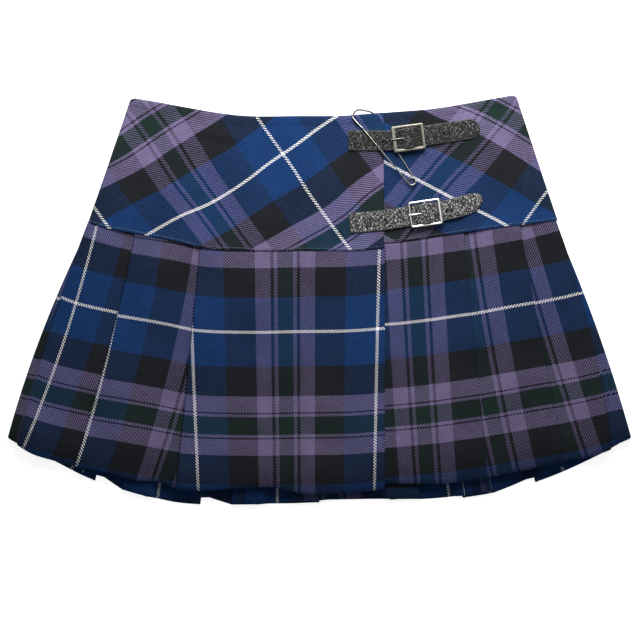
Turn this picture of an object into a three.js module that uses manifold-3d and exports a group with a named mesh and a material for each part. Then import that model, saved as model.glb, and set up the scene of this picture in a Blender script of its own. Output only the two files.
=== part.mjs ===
// A short kilt skirt in tartan, laid flat with its front up: hip yokes, an over apron, knife pleats
// folded back and forth, two strap-and-buckle closures and a kilt pin.
// Millimetres. +X is across the skirt, +Y towards the waist, +Z up from the surface it lies on.
import * as THREE from "three";
import { mergeVertices } from "three/addons/utils/BufferGeometryUtils.js";
import Module from "manifold-3d";

const wasm = await Module();
wasm.setup();

// Driving dimensions
const cloth = { wall: 1, headGap: 0.3, hemGap: 0.8, seamGap: 0.3, hiddenLift: 1.5 };
const rows = { skirt: 6, yoke: 4 };
const turnPieces = 4;
const pin = {
  wire: 0.6,
  wireEnd: 0.8,
  sleeve: 1.15,
  cap: 1,
  sleeveLift: 0.9,
  joint: 0.35,
  overlapGap: 2,
  coilRadius: 3.5,
  coilGap: 0.3,
  turns: 1.48,
  clearance: 0.35,
};
const strap = { width: 18.4, thickness: 1.6, clearance: 0.3, tipRound: 9, tipWidth: 0.12, step: 7 };
const hole = { radius: 1.4, half: 0.01 };
const slot = { centre: -5.2, radius: 1.15, half: 2.5 };
const buckle = {
  length: 30.5,
  breadth: 24.4,
  corner: 3,
  bar: 1.4,
  side: 1.15,
  centreBar: 0.9,
  lift: 5.5,
  clearance: 0.25,
};
const prong = { wire: 0.65, play: 0.15, overhang: 2.2, eyeFrom: -175, eyeTo: 95, neckAt: -4, neckZ: 1.8 };
const tab = {
  thickness: 1,
  width: 13,
  eyeFrom: -27,
  eyeTo: 291.6,
  heel: 4.5,
  instep: 6,
  tail: 30,
  slot: 2.2,
  rest: 0.3,
};

// Rows of a table as objects, one named column for each value
const table = (names, ...lines) =>
  lines.map((line) => Object.fromEntries(names.map((name, i) => [name, line[i]])));

// Edges seen from above. The over apron and its yoke end at the overlap, the under ones at the under end.
const overlap = { yoke: 58.9, skirt: 59.8, underEnd: -20 };
const waist = table(
  ["x", "y"],
  [-175.3, 185.8],
  [-128.3, 177.6],
  [-98.9, 172.5],
  [-69.5, 168.8],
  [23.5, 168.8],
  [63, 172],
  [107.2, 175.7],
  [151.3, 183.1],
  [182.6, 188.6],
);
const overSeam = table(
  ["x", "y"],
  [-213, 71.8],
  [-169.7, 61.6],
  [-109.9, 48.8],
  [-63.9, 46],
  [28.1, 46],
  [59.8, 47.8],
);
const underSeam = table(
  ["x", "y"],
  [-20, 49.5],
  [64.9, 53.4],
  [92.5, 56.6],
  [166.1, 67.2],
  [219.4, 73.6],
);
const backSeam = table(
  ["x", "y"],
  [-213, 71.8],
  [-150, 56],
  [-60, 44],
  [70, 44],
  [150, 58],
  [219.4, 73.6],
);
const overHem = table(
  ["x", "y"],
  [-287.5, -127],
  [-266.3, -140.8],
  [-224, -153.6],
  [-169.7, -166.1],
  [-132, -174],
  [-109.9, -175.7],
  [-40.9, -173],
  [-17.9, -178.5],
  [0.5, -179.4],
  [59.8, -174.8],
);
const underHem = table(
  ["x", "y"],
  [-20, -172],
  [110.9, -169.3],
  [166.1, -161.9],
  [226.8, -148.6],
  [267.3, -138],
  [287.5, -127],
);
const backHem = table(
  ["x", "y"],
  [-287.5, -127],
  [-241.5, -150.9],
  [-209.3, -166.5],
  [-111.8, -189.1],
  [74.1, -184.5],
  [132, -183.1],
  [200.1, -168.4],
  [258.1, -143.5],
  [287.5, -127],
);
const backWaistDrop = 1.5;

// Fold lines of the knife pleats from image left to right: x at the head, half way down and at the hem, how
// deep the cloth is folded under, and how far the next pleat's hem rises where it comes out.
const foldColumns = ["head", "middle", "hem", "depthHead", "depthHem", "step", "pieces"];
const overPleats = table(
  foldColumns,
  [-213, -248.8, -278, 12, 18, 0, 1],
  [-169.7, -193.7, -225, 24, 28, 0, 2],
  [-109.9, -120.6, -132, 28, 34, 0, 3],
);
const underPleats = table(
  foldColumns,
  [132.9, 143.5, 155, 26, 30, 0, 3],
  [184.5, 204.3, 226.8, 22, 28, 0, 2],
  [217.5, 250, 268, 11, 18, 0, 1],
);
const backPleats = table(
  [...foldColumns, "faces"],
  [-155, -181, -207, 17, 24, 6, 3, 1],
  [-118, -138, -158, 17, 24, 3, 2, 1],
  [-82, -96, -110, 17, 24, 6, 2, 1],
  [-41, -48, -55, 18, 26, 2, 2, 1],
  [0, 0, 0, 18, 26, 3, 2, 1],
  [49, 57, 65, 20, 28, 2, 2, -1],
  [99, 115.5, 132, 20, 28, 2, 2, -1],
  [149, 174, 199, 20, 28, 5, 2, -1],
);
const backEase = 8;
const sides = {
  overSkirt: { head: -211, middle: -255, hem: -287.5 },
  underSkirt: { head: 216, middle: 256, hem: 287.5 },
  overYoke: { head: -175.3, middle: -194.2, hem: -213 },
  underYoke: { head: 182.6, middle: 201, hem: 219.4 },
};

// Layers of cloth are counted up from the surface. The back is folded on 0, 1 and 2, the front on 3, 4, 5.
const layer = { backOut: 0, backMid: 1, backIn: 2, frontIn: 3, frontMid: 4, frontOut: 5 };
const lerp = THREE.MathUtils.lerp;
const pitch = (v) => cloth.wall + lerp(cloth.headGap, cloth.hemGap, v);
const layerZ = (count, v) => cloth.wall / 2 + count * pitch(v);

// Height of a curve given as a table, between its nearest two rows
function along(curve, x) {
  const next = Math.max(1, curve.findIndex((row) => row.x >= x));
  const to = x > curve.at(-1).x ? curve.length - 1 : next;
  const a = curve[to - 1];
  const b = curve[to];
  return lerp(a.y, b.y, (x - a.x) / (b.x - a.x));
}

// Where a fold line or an edge lies across the skirt, v running from 0 at its head to 1 at its foot
function lineOf({ head, middle, hem }) {
  const bow = middle - (head + hem) / 2;
  return (v) => lerp(head, hem, v) + 4 * bow * v * (1 - v);
}
const shifted = (line, head, hem = head) => (v) => line(v) + lerp(head, hem, v);
const upright = (x) => () => x;

// A chain of stations is a cross-section of the cloth. Each station gives x and z at any v, and how far its
// foot is lifted above the hem's curve.
function runTo(chain, x, z, lift = 0, pieces = 1) {
  const from = chain.at(-1);
  for (let i = 1; i <= pieces; i++) {
    const part = i / pieces;
    chain.push({
      x: (v) => lerp(from.x(v), x(v), part),
      z: (v) => lerp(from.z(v), z(v), part),
      lift: lerp(from.lift, lift, part),
    });
  }
}

// Half a turn of the cloth from one layer to the next, bulging towards +X or -X as far as the edge
function turn(chain, edge, bulge, from, to, lift) {
  const rise = to - from;
  for (let i = 0; i <= turnPieces; i++) {
    const angle = (i / turnPieces - 0.5) * Math.PI;
    const radius = (v) => pitch(v) / 2;
    chain.push({
      x: (v) => edge(v) - bulge * (radius(v) + cloth.wall / 2 - radius(v) * Math.cos(angle)),
      z: (v) => layerZ((from + to) / 2, v) + rise * radius(v) * Math.sin(angle),
      lift,
    });
  }
}

// The rounded side of the skirt: a quarter turn from half height to the layer, clear of the other cloth
function sideTurn(edge, side, own, other) {
  const stations = [];
  for (let i = 0; i <= turnPieces; i++) {
    const angle = ((i / turnPieces) * Math.PI) / 2;
    const radius = (v) => Math.abs(own(v) - other(v)) / 2;
    const up = (v) => Math.sign(own(v) - other(v));
    const rise = (v) => Math.max(radius(v) * Math.sin(angle), cloth.seamGap / 2);
    stations.push({
      x: (v) => edge(v) - side * (radius(v) + cloth.wall / 2 - radius(v) * Math.cos(angle)),
      z: (v) => (own(v) + other(v)) / 2 + up(v) * rise(v),
      lift: 0,
      upright: i === 0,
    });
  }
  return stations;
}

// Adds one pleat. Going towards +X, a fold that faces +X comes before the cloth under it, and one that
// faces -X after it. ease is how far the cloth takes to come to the outer layer, or 0 for the whole panel.
// A pleat at the side has only the side's own fold beyond it.
function addPleat(chain, pleat, faces, layers, { ease = 0, atSide = false }) {
  const edge = lineOf(pleat);
  const deep = shifted(edge, -faces * pleat.depthHead, -faces * pleat.depthHem);
  const hidden = pleat.step + cloth.hiddenLift;
  const clear = shifted(edge, faces);
  const at = (count) => (v) => layerZ(count, v);
  const { out, mid, inner } = layers;
  if (faces > 0) {
    runTo(chain, deep, at(out), 0, pleat.pieces);
    turn(chain, edge, faces, out, mid, 0);
    turn(chain, deep, -faces, mid, inner, hidden);
    if (!atSide) runTo(chain, clear, at(inner), pleat.step);
    if (ease) runTo(chain, shifted(edge, ease), at(out), pleat.step);
  } else {
    if (ease) runTo(chain, shifted(edge, -ease), at(out), pleat.step, pleat.pieces);
    if (!atSide) runTo(chain, clear, at(inner), pleat.step, ease ? 1 : pleat.pieces);
    turn(chain, deep, -faces, inner, mid, hidden);
    turn(chain, edge, faces, mid, out, 0);
    runTo(chain, shifted(deep, 1), at(out));
  }
}

// Unit normals of a section with mitred corners, for moving its points out to both faces of the cloth
function mitres(section) {
  return section.map((point, i) => {
    const back = section[Math.max(i - 1, 0)];
    const ahead = section[Math.min(i + 1, section.length - 1)];
    const arriving = new THREE.Vector2().subVectors(i ? point : ahead, i ? back : point).normalize();
    const last = i === section.length - 1;
    const leaving = new THREE.Vector2().subVectors(last ? point : ahead, last ? back : point).normalize();
    const middle = new THREE.Vector2().addVectors(arriving, leaving).normalize();
    return new THREE.Vector2(-middle.y, middle.x).divideScalar(middle.dot(arriving));
  });
}

// A closed mesh between two grids of points, its upper and lower face, with its four edges closed
function slab(top, bottom, across, down) {
  const points = [...top, ...bottom];
  const faces = [];
  const under = top.length;
  const quad = (a, b, c, d) => faces.push(a, b, c, a, c, d);
  const id = (i, j) => j * across + i;
  for (let j = 0; j < down - 1; j++) {
    for (let i = 0; i < across - 1; i++) {
      quad(id(i, j), id(i, j + 1), id(i + 1, j + 1), id(i + 1, j));
      quad(under + id(i, j), under + id(i + 1, j), under + id(i + 1, j + 1), under + id(i, j + 1));
    }
  }
  for (let i = 0; i < across - 1; i++) {
    const foot = down - 1;
    quad(id(i, 0), id(i + 1, 0), under + id(i + 1, 0), under + id(i, 0));
    quad(id(i, foot), under + id(i, foot), under + id(i + 1, foot), id(i + 1, foot));
  }
  for (let j = 0; j < down - 1; j++) {
    const end = across - 1;
    quad(id(0, j), under + id(0, j), under + id(0, j + 1), id(0, j + 1));
    quad(id(end, j), id(end, j + 1), under + id(end, j + 1), under + id(end, j));
  }
  return meshOf(points, faces);
}

// A geometry from points and triangles, turned so that its faces point out
function meshOf(points, faces) {
  let volume = 0;
  const cross = new THREE.Vector3();
  for (let i = 0; i < faces.length; i += 3) {
    cross.crossVectors(points[faces[i + 1]], points[faces[i + 2]]);
    volume += points[faces[i]].dot(cross);
  }
  const turned = volume < 0 ? [...faces].reverse() : faces;
  const geometry = new THREE.BufferGeometry().setFromPoints(points);
  geometry.setIndex(turned);
  geometry.computeVertexNormals();
  return geometry;
}

// A wall of cloth through a chain of stations, from the curve of its head to the curve of its foot
function clothWall(chain, headY, footY, count) {
  const top = [];
  const bottom = [];
  for (let j = 0; j <= count; j++) {
    const v = j / count;
    const section = chain.map((station) => new THREE.Vector2(station.x(v), station.z(v)));
    mitres(section).forEach((normal, i) => {
      const { x, y: z } = section[i];
      if (chain[i].upright) normal.set(Math.sign(normal.x), 0);
      const y = lerp(headY(chain[i].x(0)), footY(chain[i].x(1)) + chain[i].lift, v);
      const half = cloth.wall / 2;
      top.push(new THREE.Vector3(x + normal.x * half, y, z + normal.y * half));
      bottom.push(new THREE.Vector3(x - normal.x * half, y, z - normal.y * half));
    });
  }
  return slab(top, bottom, chain.length, count + 1);
}

// Heights of the cloth's middle. The apron lies on the under apron at the overlap and comes down to the
// left of it, and the under apron rises beside the overlap to the top of its own pleats.
const apronDrop = { from: -80, to: -25 };
const underRise = { from: 62, to: underPleats[0].head - underPleats[0].depthHead };
const share = (x, { from, to }) => THREE.MathUtils.clamp((x - from) / (to - from), 0, 1);
const waistZ = cloth.wall / 2 + cloth.wall + cloth.headGap;
const overSeamLayer = (x) => lerp(layer.frontOut, layer.frontMid, share(x, apronDrop));
const underSeamLayer = (x) => lerp(layer.frontIn, layer.frontOut, share(x, underRise));
function overYokeZ(x, v) {
  const atWaist = waistZ + share(x, apronDrop) * (cloth.wall + pin.overlapGap);
  return lerp(atWaist, layerZ(overSeamLayer(x), 0), v);
}
const underYokeZ = (x, v) => lerp(waistZ, layerZ(underSeamLayer(x), 0), v);
const backYokeZ = () => cloth.wall / 2;

// How far down the yoke a point lies, and the top of either front yoke there
const downYoke = (seam, x, y) => (along(waist, x) - y) / (along(waist, x) - along(seam, x));
const overTop = (x, y) => overYokeZ(x, downYoke(overSeam, x, y)) + cloth.wall / 2;
const underTop = (x, y) => underYokeZ(x, downYoke(underSeam, x, y)) + cloth.wall / 2;

// Yokes
function yokeRun(chain, line, height, pieces) {
  const from = chain.at(-1).x;
  for (let i = 1; i <= pieces; i++) {
    const x = (v) => lerp(from(v), line(v), i / pieces);
    chain.push({ x, z: (v) => height(x(v), v), lift: 0 });
  }
}
const reversed = (stations) => [...stations].reverse();
const yokeHead = (x) => along(waist, x);
const yokeFoot = (seam) => (x) => along(seam, x) + cloth.seamGap / 2;

function apronYoke() {
  const edge = lineOf(sides.overYoke);
  const own = (v) => overYokeZ(edge(v), v);
  const chain = sideTurn(edge, -1, own, backYokeZ);
  yokeRun(chain, upright(apronDrop.from), overYokeZ, 4);
  yokeRun(chain, upright(apronDrop.to), overYokeZ, 2);
  yokeRun(chain, upright(overlap.yoke), overYokeZ, 4);
  return clothWall(chain, yokeHead, yokeFoot(overSeam), rows.yoke);
}

function underYoke() {
  const edge = lineOf(sides.underYoke);
  const chain = [{ x: upright(overlap.underEnd), z: (v) => underYokeZ(overlap.underEnd, v), lift: 0 }];
  yokeRun(chain, upright(underRise.from), underYokeZ, 3);
  yokeRun(chain, upright(underRise.to), underYokeZ, 2);
  const side = reversed(sideTurn(edge, 1, (v) => underYokeZ(edge(v), v), backYokeZ));
  yokeRun(chain, side[0].x, underYokeZ, 3);
  return clothWall([...chain, ...side.slice(1)], yokeHead, yokeFoot(underSeam), rows.yoke);
}

function backYoke() {
  const left = lineOf(sides.overYoke);
  const right = lineOf(sides.underYoke);
  const chain = sideTurn(left, -1, backYokeZ, (v) => overYokeZ(left(v), v));
  const end = reversed(sideTurn(right, 1, backYokeZ, (v) => underYokeZ(right(v), v)));
  yokeRun(chain, end[0].x, backYokeZ, 10);
  const head = (x) => yokeHead(x) - backWaistDrop;
  return clothWall([...chain, ...end.slice(1)], head, yokeFoot(backSeam), rows.yoke);
}

// Pleated skirt pieces
const skirtHead = (seam) => (x) => along(seam, x) - cloth.seamGap / 2;
const hemOf = (hem) => (x) => along(hem, x);
const onLayer = (count) => (v) => layerZ(count, v);
const frontLayers = { out: layer.frontOut, mid: layer.frontMid, inner: layer.frontIn };
const backLayers = { out: layer.backOut, mid: layer.backMid, inner: layer.backIn };

function apronSkirt() {
  const side = lineOf(sides.overSkirt);
  const chain = sideTurn(side, -1, onLayer(layer.frontIn), onLayer(layer.backOut));
  overPleats.forEach((pleat, i) => addPleat(chain, pleat, -1, frontLayers, { atSide: i === 0 }));
  runTo(chain, upright(apronDrop.to), onLayer(layer.frontMid), 0, 3);
  runTo(chain, upright(overlap.skirt), onLayer(layer.frontMid), 0, 4);
  return clothWall(chain, skirtHead(overSeam), hemOf(overHem), rows.skirt);
}

function underApronSkirt() {
  const chain = [{ x: upright(overlap.underEnd), z: onLayer(layer.frontIn), lift: 0 }];
  runTo(chain, upright(underRise.from), onLayer(layer.frontIn), 0, 3);
  const last = underPleats.length - 1;
  underPleats.forEach((pleat, i) => addPleat(chain, pleat, 1, frontLayers, { atSide: i === last }));
  const side = sideTurn(lineOf(sides.underSkirt), 1, onLayer(layer.frontIn), onLayer(layer.backOut));
  chain.push(...reversed(side));
  return clothWall(chain, skirtHead(underSeam), hemOf(underHem), rows.skirt);
}

function backSkirt() {
  const left = lineOf(sides.overSkirt);
  const right = lineOf(sides.underSkirt);
  const chain = sideTurn(left, -1, onLayer(layer.backOut), onLayer(layer.frontIn));
  backPleats.forEach((pleat) => addPleat(chain, pleat, pleat.faces, backLayers, { ease: backEase }));
  const side = reversed(sideTurn(right, 1, onLayer(layer.backOut), onLayer(layer.frontIn)));
  runTo(chain, side[0].x, side[0].z, 0, 3);
  return clothWall([...chain, ...side.slice(1)], skirtHead(backSeam), hemOf(backHem), rows.skirt);
}

// Booleans on closed geometries
function solidOf(geometry) {
  const bare = geometry.clone();
  bare.deleteAttribute("normal");
  bare.deleteAttribute("uv");
  const merged = mergeVertices(bare, 1e-4);
  return new wasm.Manifold(
    new wasm.Mesh({
      numProp: 3,
      vertProperties: merged.attributes.position.array,
      triVerts: new Uint32Array(merged.index.array),
    }),
  );
}
function geometryOf(made) {
  const { vertProperties, triVerts } = made.getMesh();
  const geometry = new THREE.BufferGeometry();
  geometry.setAttribute("position", new THREE.BufferAttribute(new Float32Array(vertProperties), 3));
  geometry.setIndex(new THREE.BufferAttribute(new Uint32Array(triVerts), 1));
  geometry.computeVertexNormals();
  return geometry;
}

// A round bar through points, with a radius at each, closed at its ends or joined into a ring
function bar(points, radii, sideCount = 8, ring = false) {
  const count = points.length;
  const vertices = [];
  const faces = [];
  const ahead = (i) => points[ring ? (i + 1) % count : Math.min(i + 1, count - 1)];
  const behind = (i) => points[ring ? (i + count - 1) % count : Math.max(i - 1, 0)];
  const side = new THREE.Vector3();
  points.forEach((point, i) => {
    const tangent = new THREE.Vector3().subVectors(ahead(i), behind(i)).normalize();
    if (i === 0) side.set(0, 0, 1).cross(tangent);
    if (i === 0 && side.length() < 0.1) side.set(1, 0, 0);
    side.addScaledVector(tangent, -side.dot(tangent)).normalize();
    const third = new THREE.Vector3().crossVectors(tangent, side);
    for (let k = 0; k < sideCount; k++) {
      const angle = (k / sideCount) * 2 * Math.PI;
      const vertex = point.clone().addScaledVector(side, radii[i] * Math.cos(angle));
      vertices.push(vertex.addScaledVector(third, radii[i] * Math.sin(angle)));
    }
  });
  const id = (i, k) => (i % count) * sideCount + (k % sideCount);
  for (let i = 0; i < (ring ? count : count - 1); i++) {
    for (let k = 0; k < sideCount; k++) {
      faces.push(id(i, k), id(i, k + 1), id(i + 1, k + 1));
      faces.push(id(i, k), id(i + 1, k + 1), id(i + 1, k));
    }
  }
  for (let k = 1; !ring && k < sideCount - 1; k++) {
    faces.push(id(0, 0), id(0, k + 1), id(0, k));
    faces.push(id(count - 1, 0), id(count - 1, k), id(count - 1, k + 1));
  }
  return meshOf(vertices, faces);
}
const evenBar = (points, radius, sideCount, ring) =>
  bar(points, points.map(() => radius), sideCount, ring);

// Closures. Each row gives the strap's centre line, the place and turn of its buckle on it, and where its
// holes are, measured from the buckle's centre bar.
const closures = [
  {
    name: "upper",
    line: table(
      ["x", "y"],
      [27.1, 146.1],
      [50, 146],
      [66.7, 146.2],
      [81.9, 148],
      [115, 153.2],
      [147.7, 158.2],
    ),
    centre: { x: 81.9, y: 148, turn: 7.5 },
    holes: [-24, 32.5],
  },
  {
    name: "lower",
    line: table(
      ["x", "y"],
      [28.1, 69.8],
      [60, 72.8],
      [82.8, 76.3],
      [97.6, 78.5],
      [113.6, 81],
      [150.4, 90.5],
    ),
    centre: { x: 97.6, y: 78.6, turn: 8.2 },
    holes: [-37.7, 19.6],
  },
];

// The plane that a buckle lies on: it leans with the cloth, and is as low as the cloth under it allows
function restPlane({ x, y, turn: degrees }) {
  const angle = THREE.MathUtils.degToRad(degrees);
  const reach = { back: 16, ahead: 30, side: 12 };
  const ahead = { x: Math.cos(angle), y: Math.sin(angle) };
  const place = (s, c) => [x + ahead.x * s - ahead.y * c, y + ahead.y * s + ahead.x * c];
  const height = (s, c) => underTop(...place(s, c));
  const rise = (height(reach.ahead, 0) - height(-reach.back, 0)) / (reach.ahead + reach.back);
  const lean = (height(0, reach.side) - height(0, -reach.side)) / (2 * reach.side);
  let base = -Infinity;
  for (const s of [-reach.back, 0, reach.back, reach.ahead]) {
    for (const c of [-reach.side, 0, reach.side]) base = Math.max(base, height(s, c) - rise * s - lean * c);
  }
  return { place, heightAt: (s, c) => base + rise * s + lean * c, base, rise, lean, angle, ahead };
}

// Height of the strap's lower face over the rest plane, by the distance from the buckle's centre bar. It
// passes under the end bars, a little beyond them on both sides, and over the prong's eye.
const bend = { outside: 0.6, inside: 1, crest: 2 };
const eyeTop = buckle.centreBar + prong.play + 2 * prong.wire;
const underBar = buckle.lift - buckle.bar - buckle.clearance - strap.thickness;
const overEye = buckle.lift + eyeTop + buckle.clearance;
const barAt = buckle.length / 2 - buckle.bar;
const strapOverBuckle = table(
  ["x", "y"],
  [-barAt - buckle.bar - bend.outside, underBar],
  [-barAt + buckle.bar + bend.inside, underBar],
  [-bend.crest, overEye],
  [bend.crest, overEye],
  [barAt - buckle.bar - bend.inside, underBar],
  [barAt + buckle.bar + bend.outside, underBar],
);

function strapSolid({ line, centre, holes }, plane) {
  const curve = new THREE.CatmullRomCurve3(line.map(({ x, y }) => new THREE.Vector3(x, y, 0)));
  const length = curve.getLength();
  const pastBuckle = ({ x, y }) => (x - centre.x) * plane.ahead.x + (y - centre.y) * plane.ahead.y;
  const near = strapOverBuckle.at(-1).x + 0.01;
  const tailEnd = tab.tail + 3;
  // Lower face of the strap at a point: on the apron's yoke, through the buckle, over the tab, on the yoke
  const bottomAt = (s, point, c) => {
    if (s < -near) return overTop(point.x, point.y) + strap.clearance;
    if (s <= near) return plane.heightAt(s, c) + along(strapOverBuckle, s);
    const onTab = plane.heightAt(s, c) + tab.rest + tab.thickness + 2 * strap.clearance;
    const down = underTop(point.x, point.y) + strap.clearance;
    return s < tailEnd ? Math.max(onTab, down) : down;
  };
  // Length along the strap at which it passes a distance from the buckle's centre bar
  const lengthAt = (wanted) => {
    let low = 0;
    let high = length;
    for (let i = 0; i < 30; i++) {
      const half = (low + high) / 2;
      if (pastBuckle(curve.getPointAt(half / length)) < wanted) low = half;
      else high = half;
    }
    return low;
  };
  const stops = [];
  for (let s = 0; s < lengthAt(-near) - 2; s += strap.step) stops.push(s);
  stops.push(...strapOverBuckle.map((row) => lengthAt(row.x)), lengthAt(-near - 1.5));
  stops.push(lengthAt(near + 1), lengthAt(tailEnd), lengthAt(tailEnd + 3));
  for (const back of [9, 6, 3.5, 1.5, 0.4, 0]) stops.push(length - back);
  const top = [];
  const bottom = [];
  const acrossCount = 4;
  const kept = [...new Set(stops)].filter((s) => s >= 0 && s <= length).sort((a, b) => a - b);
  kept.forEach((s) => {
    const point = curve.getPointAt(s / length);
    const tangent = curve.getTangentAt(s / length);
    const left = Math.max(length - s, 0.02);
    const taper = left < strap.tipRound ? Math.sqrt(1 - (1 - left / strap.tipRound) ** 2) : 1;
    for (let i = 0; i <= acrossCount; i++) {
      const c = (i / acrossCount - 0.5) * strap.width * Math.max(taper, strap.tipWidth);
      const place = new THREE.Vector3(point.x - tangent.y * c, point.y + tangent.x * c, 0);
      const z = bottomAt(pastBuckle(point), place, c);
      bottom.push(new THREE.Vector3(place.x, place.y, z));
      top.push(new THREE.Vector3(place.x, place.y, z + strap.thickness));
    }
  });
  let made = solidOf(slab(top, bottom, acrossCount + 1, kept.length));
  const cut = ({ centre: s, radius, half }) => {
    const [x, y] = plane.place(s, 0);
    const shape = new THREE.Shape();
    shape.absarc(half, 0, radius, -Math.PI / 2, Math.PI / 2);
    shape.absarc(-half, 0, radius, Math.PI / 2, (3 * Math.PI) / 2);
    const punch = new THREE.ExtrudeGeometry(shape, { depth: 30, bevelEnabled: false, curveSegments: 4 });
    punch.rotateZ(plane.angle).translate(x, y, -5);
    made = made.subtract(solidOf(punch));
  };
  holes.forEach((s) => cut({ ...hole, centre: s }));
  cut(slot);
  return geometryOf(made);
}

// Buckle, prong and tab are made in the buckle's own frame: x along the strap, y across, z up from the
// centre bar
function frameSolid() {
  const half = { x: barAt, y: buckle.breadth / 2 - buckle.side };
  const points = [];
  const corners = [
    [1, 1, 0],
    [-1, 1, 1],
    [-1, -1, 2],
    [1, -1, 3],
  ];
  corners.forEach(([sx, sy, quarter]) => {
    for (let i = 0; i <= turnPieces; i++) {
      const angle = (quarter + i / turnPieces) * (Math.PI / 2);
      const x = sx * (half.x - buckle.corner) + buckle.corner * Math.cos(angle);
      const y = sy * (half.y - buckle.corner) + buckle.corner * Math.sin(angle);
      points.push(new THREE.Vector3(x, y, 0));
    }
  });
  const radii = points.map(({ x }) => (Math.abs(x) > half.x - 0.5 ? buckle.bar : buckle.side));
  const across = new THREE.CylinderGeometry(buckle.centreBar, buckle.centreBar, 2 * half.y, 8);
  return geometryOf(solidOf(bar(points, radii, 8, true)).add(solidOf(across)));
}

// The prong's eye wraps under the bar, and its shank leaves over it, through the strap, to the end bar
function prongSolid() {
  const ringRadius = buckle.centreBar + prong.play + prong.wire;
  const points = [];
  const pieces = 8;
  for (let i = 0; i <= pieces; i++) {
    const angle = THREE.MathUtils.degToRad(lerp(prong.eyeFrom, prong.eyeTo, i / pieces));
    points.push(new THREE.Vector3(ringRadius * Math.cos(angle), 0, ringRadius * Math.sin(angle)));
  }
  const restZ = buckle.bar + prong.wire + buckle.clearance;
  points.push(new THREE.Vector3(prong.neckAt, 0, prong.neckZ));
  points.push(new THREE.Vector3(-barAt + 1, 0, restZ));
  points.push(new THREE.Vector3(-barAt - prong.overhang, 0, restZ - 0.1));
  return evenBar(points, prong.wire, 8);
}

function tabSolid() {
  const innerRadius = buckle.centreBar + prong.play;
  const outerRadius = innerRadius + tab.thickness;
  const floor = tab.rest - buckle.lift;
  const shape = new THREE.Shape();
  const [eyeFrom, eyeTo] = [tab.eyeFrom, tab.eyeTo].map(THREE.MathUtils.degToRad);
  shape.absarc(0, 0, outerRadius, eyeFrom, eyeTo, false);
  shape.lineTo(tab.heel, floor);
  shape.lineTo(tab.tail, floor);
  shape.lineTo(tab.tail, floor + tab.thickness);
  shape.lineTo(tab.instep, floor + tab.thickness);
  const hole = new THREE.Path();
  hole.absarc(0, 0, innerRadius, 0, 2 * Math.PI, true);
  shape.holes.push(hole);
  const settings = { depth: tab.width, bevelEnabled: false, curveSegments: 10 };
  const eye = new THREE.ExtrudeGeometry(shape, settings);
  eye.rotateX(Math.PI / 2).translate(0, tab.width / 2, 0);
  const gap = new THREE.BoxGeometry(2 * outerRadius + 2, tab.slot, 2 * outerRadius + 2);
  gap.translate(0.2, 0, 0);
  return geometryOf(solidOf(eye).subtract(solidOf(gap)));
}

// Kilt pin: the front arm lies over the upper strap, the back arm under it and between the yokes
const pinPlan = {
  sleeveTop: { x: 31.4, y: 165.8 },
  sleeveFoot: { x: 40.6, y: 155.8 },
  coil: { x: 84.9, y: 108.4 },
  backMiddle: { x: 73.5, y: 133.3 },
  backOut: { x: 60.5, y: 152.8 },
  backTip: { x: 50.2, y: 168.6 },
};
const pinHead = table(
  ["x", "y"],
  [31, 168.6],
  [32, 171.6],
  [34, 173.7],
  [37.5, 174.4],
  [43.5, 173.5],
  [48.6, 172],
  [50.6, 170],
);

function pinHeights() {
  const seat = pin.wire + pin.clearance;
  const strapTop = strap.clearance + strap.thickness;
  const between = underTop(pinPlan.backTip.x, pinPlan.backTip.y) + seat;
  return {
    sleeveTop: overTop(pinPlan.sleeveTop.x, pinPlan.sleeveTop.y) + seat + pin.sleeveLift,
    sleeveFoot: overTop(pinPlan.sleeveFoot.x, pinPlan.sleeveFoot.y) + strapTop + seat + strap.clearance,
    overStrap: (x, y) => overTop(x, y) + strapTop + seat,
    onYoke: (x, y) => underTop(x, y) + seat,
    between,
  };
}

function pinWire() {
  const height = pinHeights();
  const { sleeveFoot, coil, backMiddle, backOut, backTip } = pinPlan;
  const turnLift = 2 * pin.wire + pin.coilGap;
  const base = height.onYoke(coil.x, coil.y - pin.coilRadius) + pin.coilGap / 2;
  const arrive = Math.atan2(coil.y - sleeveFoot.y, coil.x - sleeveFoot.x);
  const startAngle = arrive - Math.PI / 2;
  const sweep = pin.turns * 2 * Math.PI;
  const ringPoint = (angle, z) =>
    new THREE.Vector3(
      coil.x + pin.coilRadius * Math.cos(angle),
      coil.y + pin.coilRadius * Math.sin(angle),
      z,
    );
  const firstRing = ringPoint(startAngle, base + turnLift * pin.turns);
  const direction = new THREE.Vector2(sleeveFoot.x - firstRing.x, sleeveFoot.y - firstRing.y).normalize();
  const startX = sleeveFoot.x - direction.x * pin.joint;
  const startY = sleeveFoot.y - direction.y * pin.joint;
  const edgePart = (overlap.yoke - startX) / (firstRing.x - startX);
  const edge = { x: overlap.yoke, y: lerp(startY, firstRing.y, edgePart) };
  const points = [new THREE.Vector3(startX, startY, height.sleeveFoot)];
  points.push(new THREE.Vector3(edge.x, edge.y, height.overStrap(edge.x, edge.y)));
  const pieces = 18;
  for (let i = 0; i <= pieces; i++) {
    const part = i / pieces;
    points.push(ringPoint(startAngle + sweep * part, base + turnLift * pin.turns * (1 - part)));
  }
  for (const { x, y } of [backMiddle, backOut]) points.push(new THREE.Vector3(x, y, height.onYoke(x, y)));
  points.push(new THREE.Vector3(backTip.x, backTip.y, height.between));
  return evenBar(points, pin.wire, 6);
}

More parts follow.
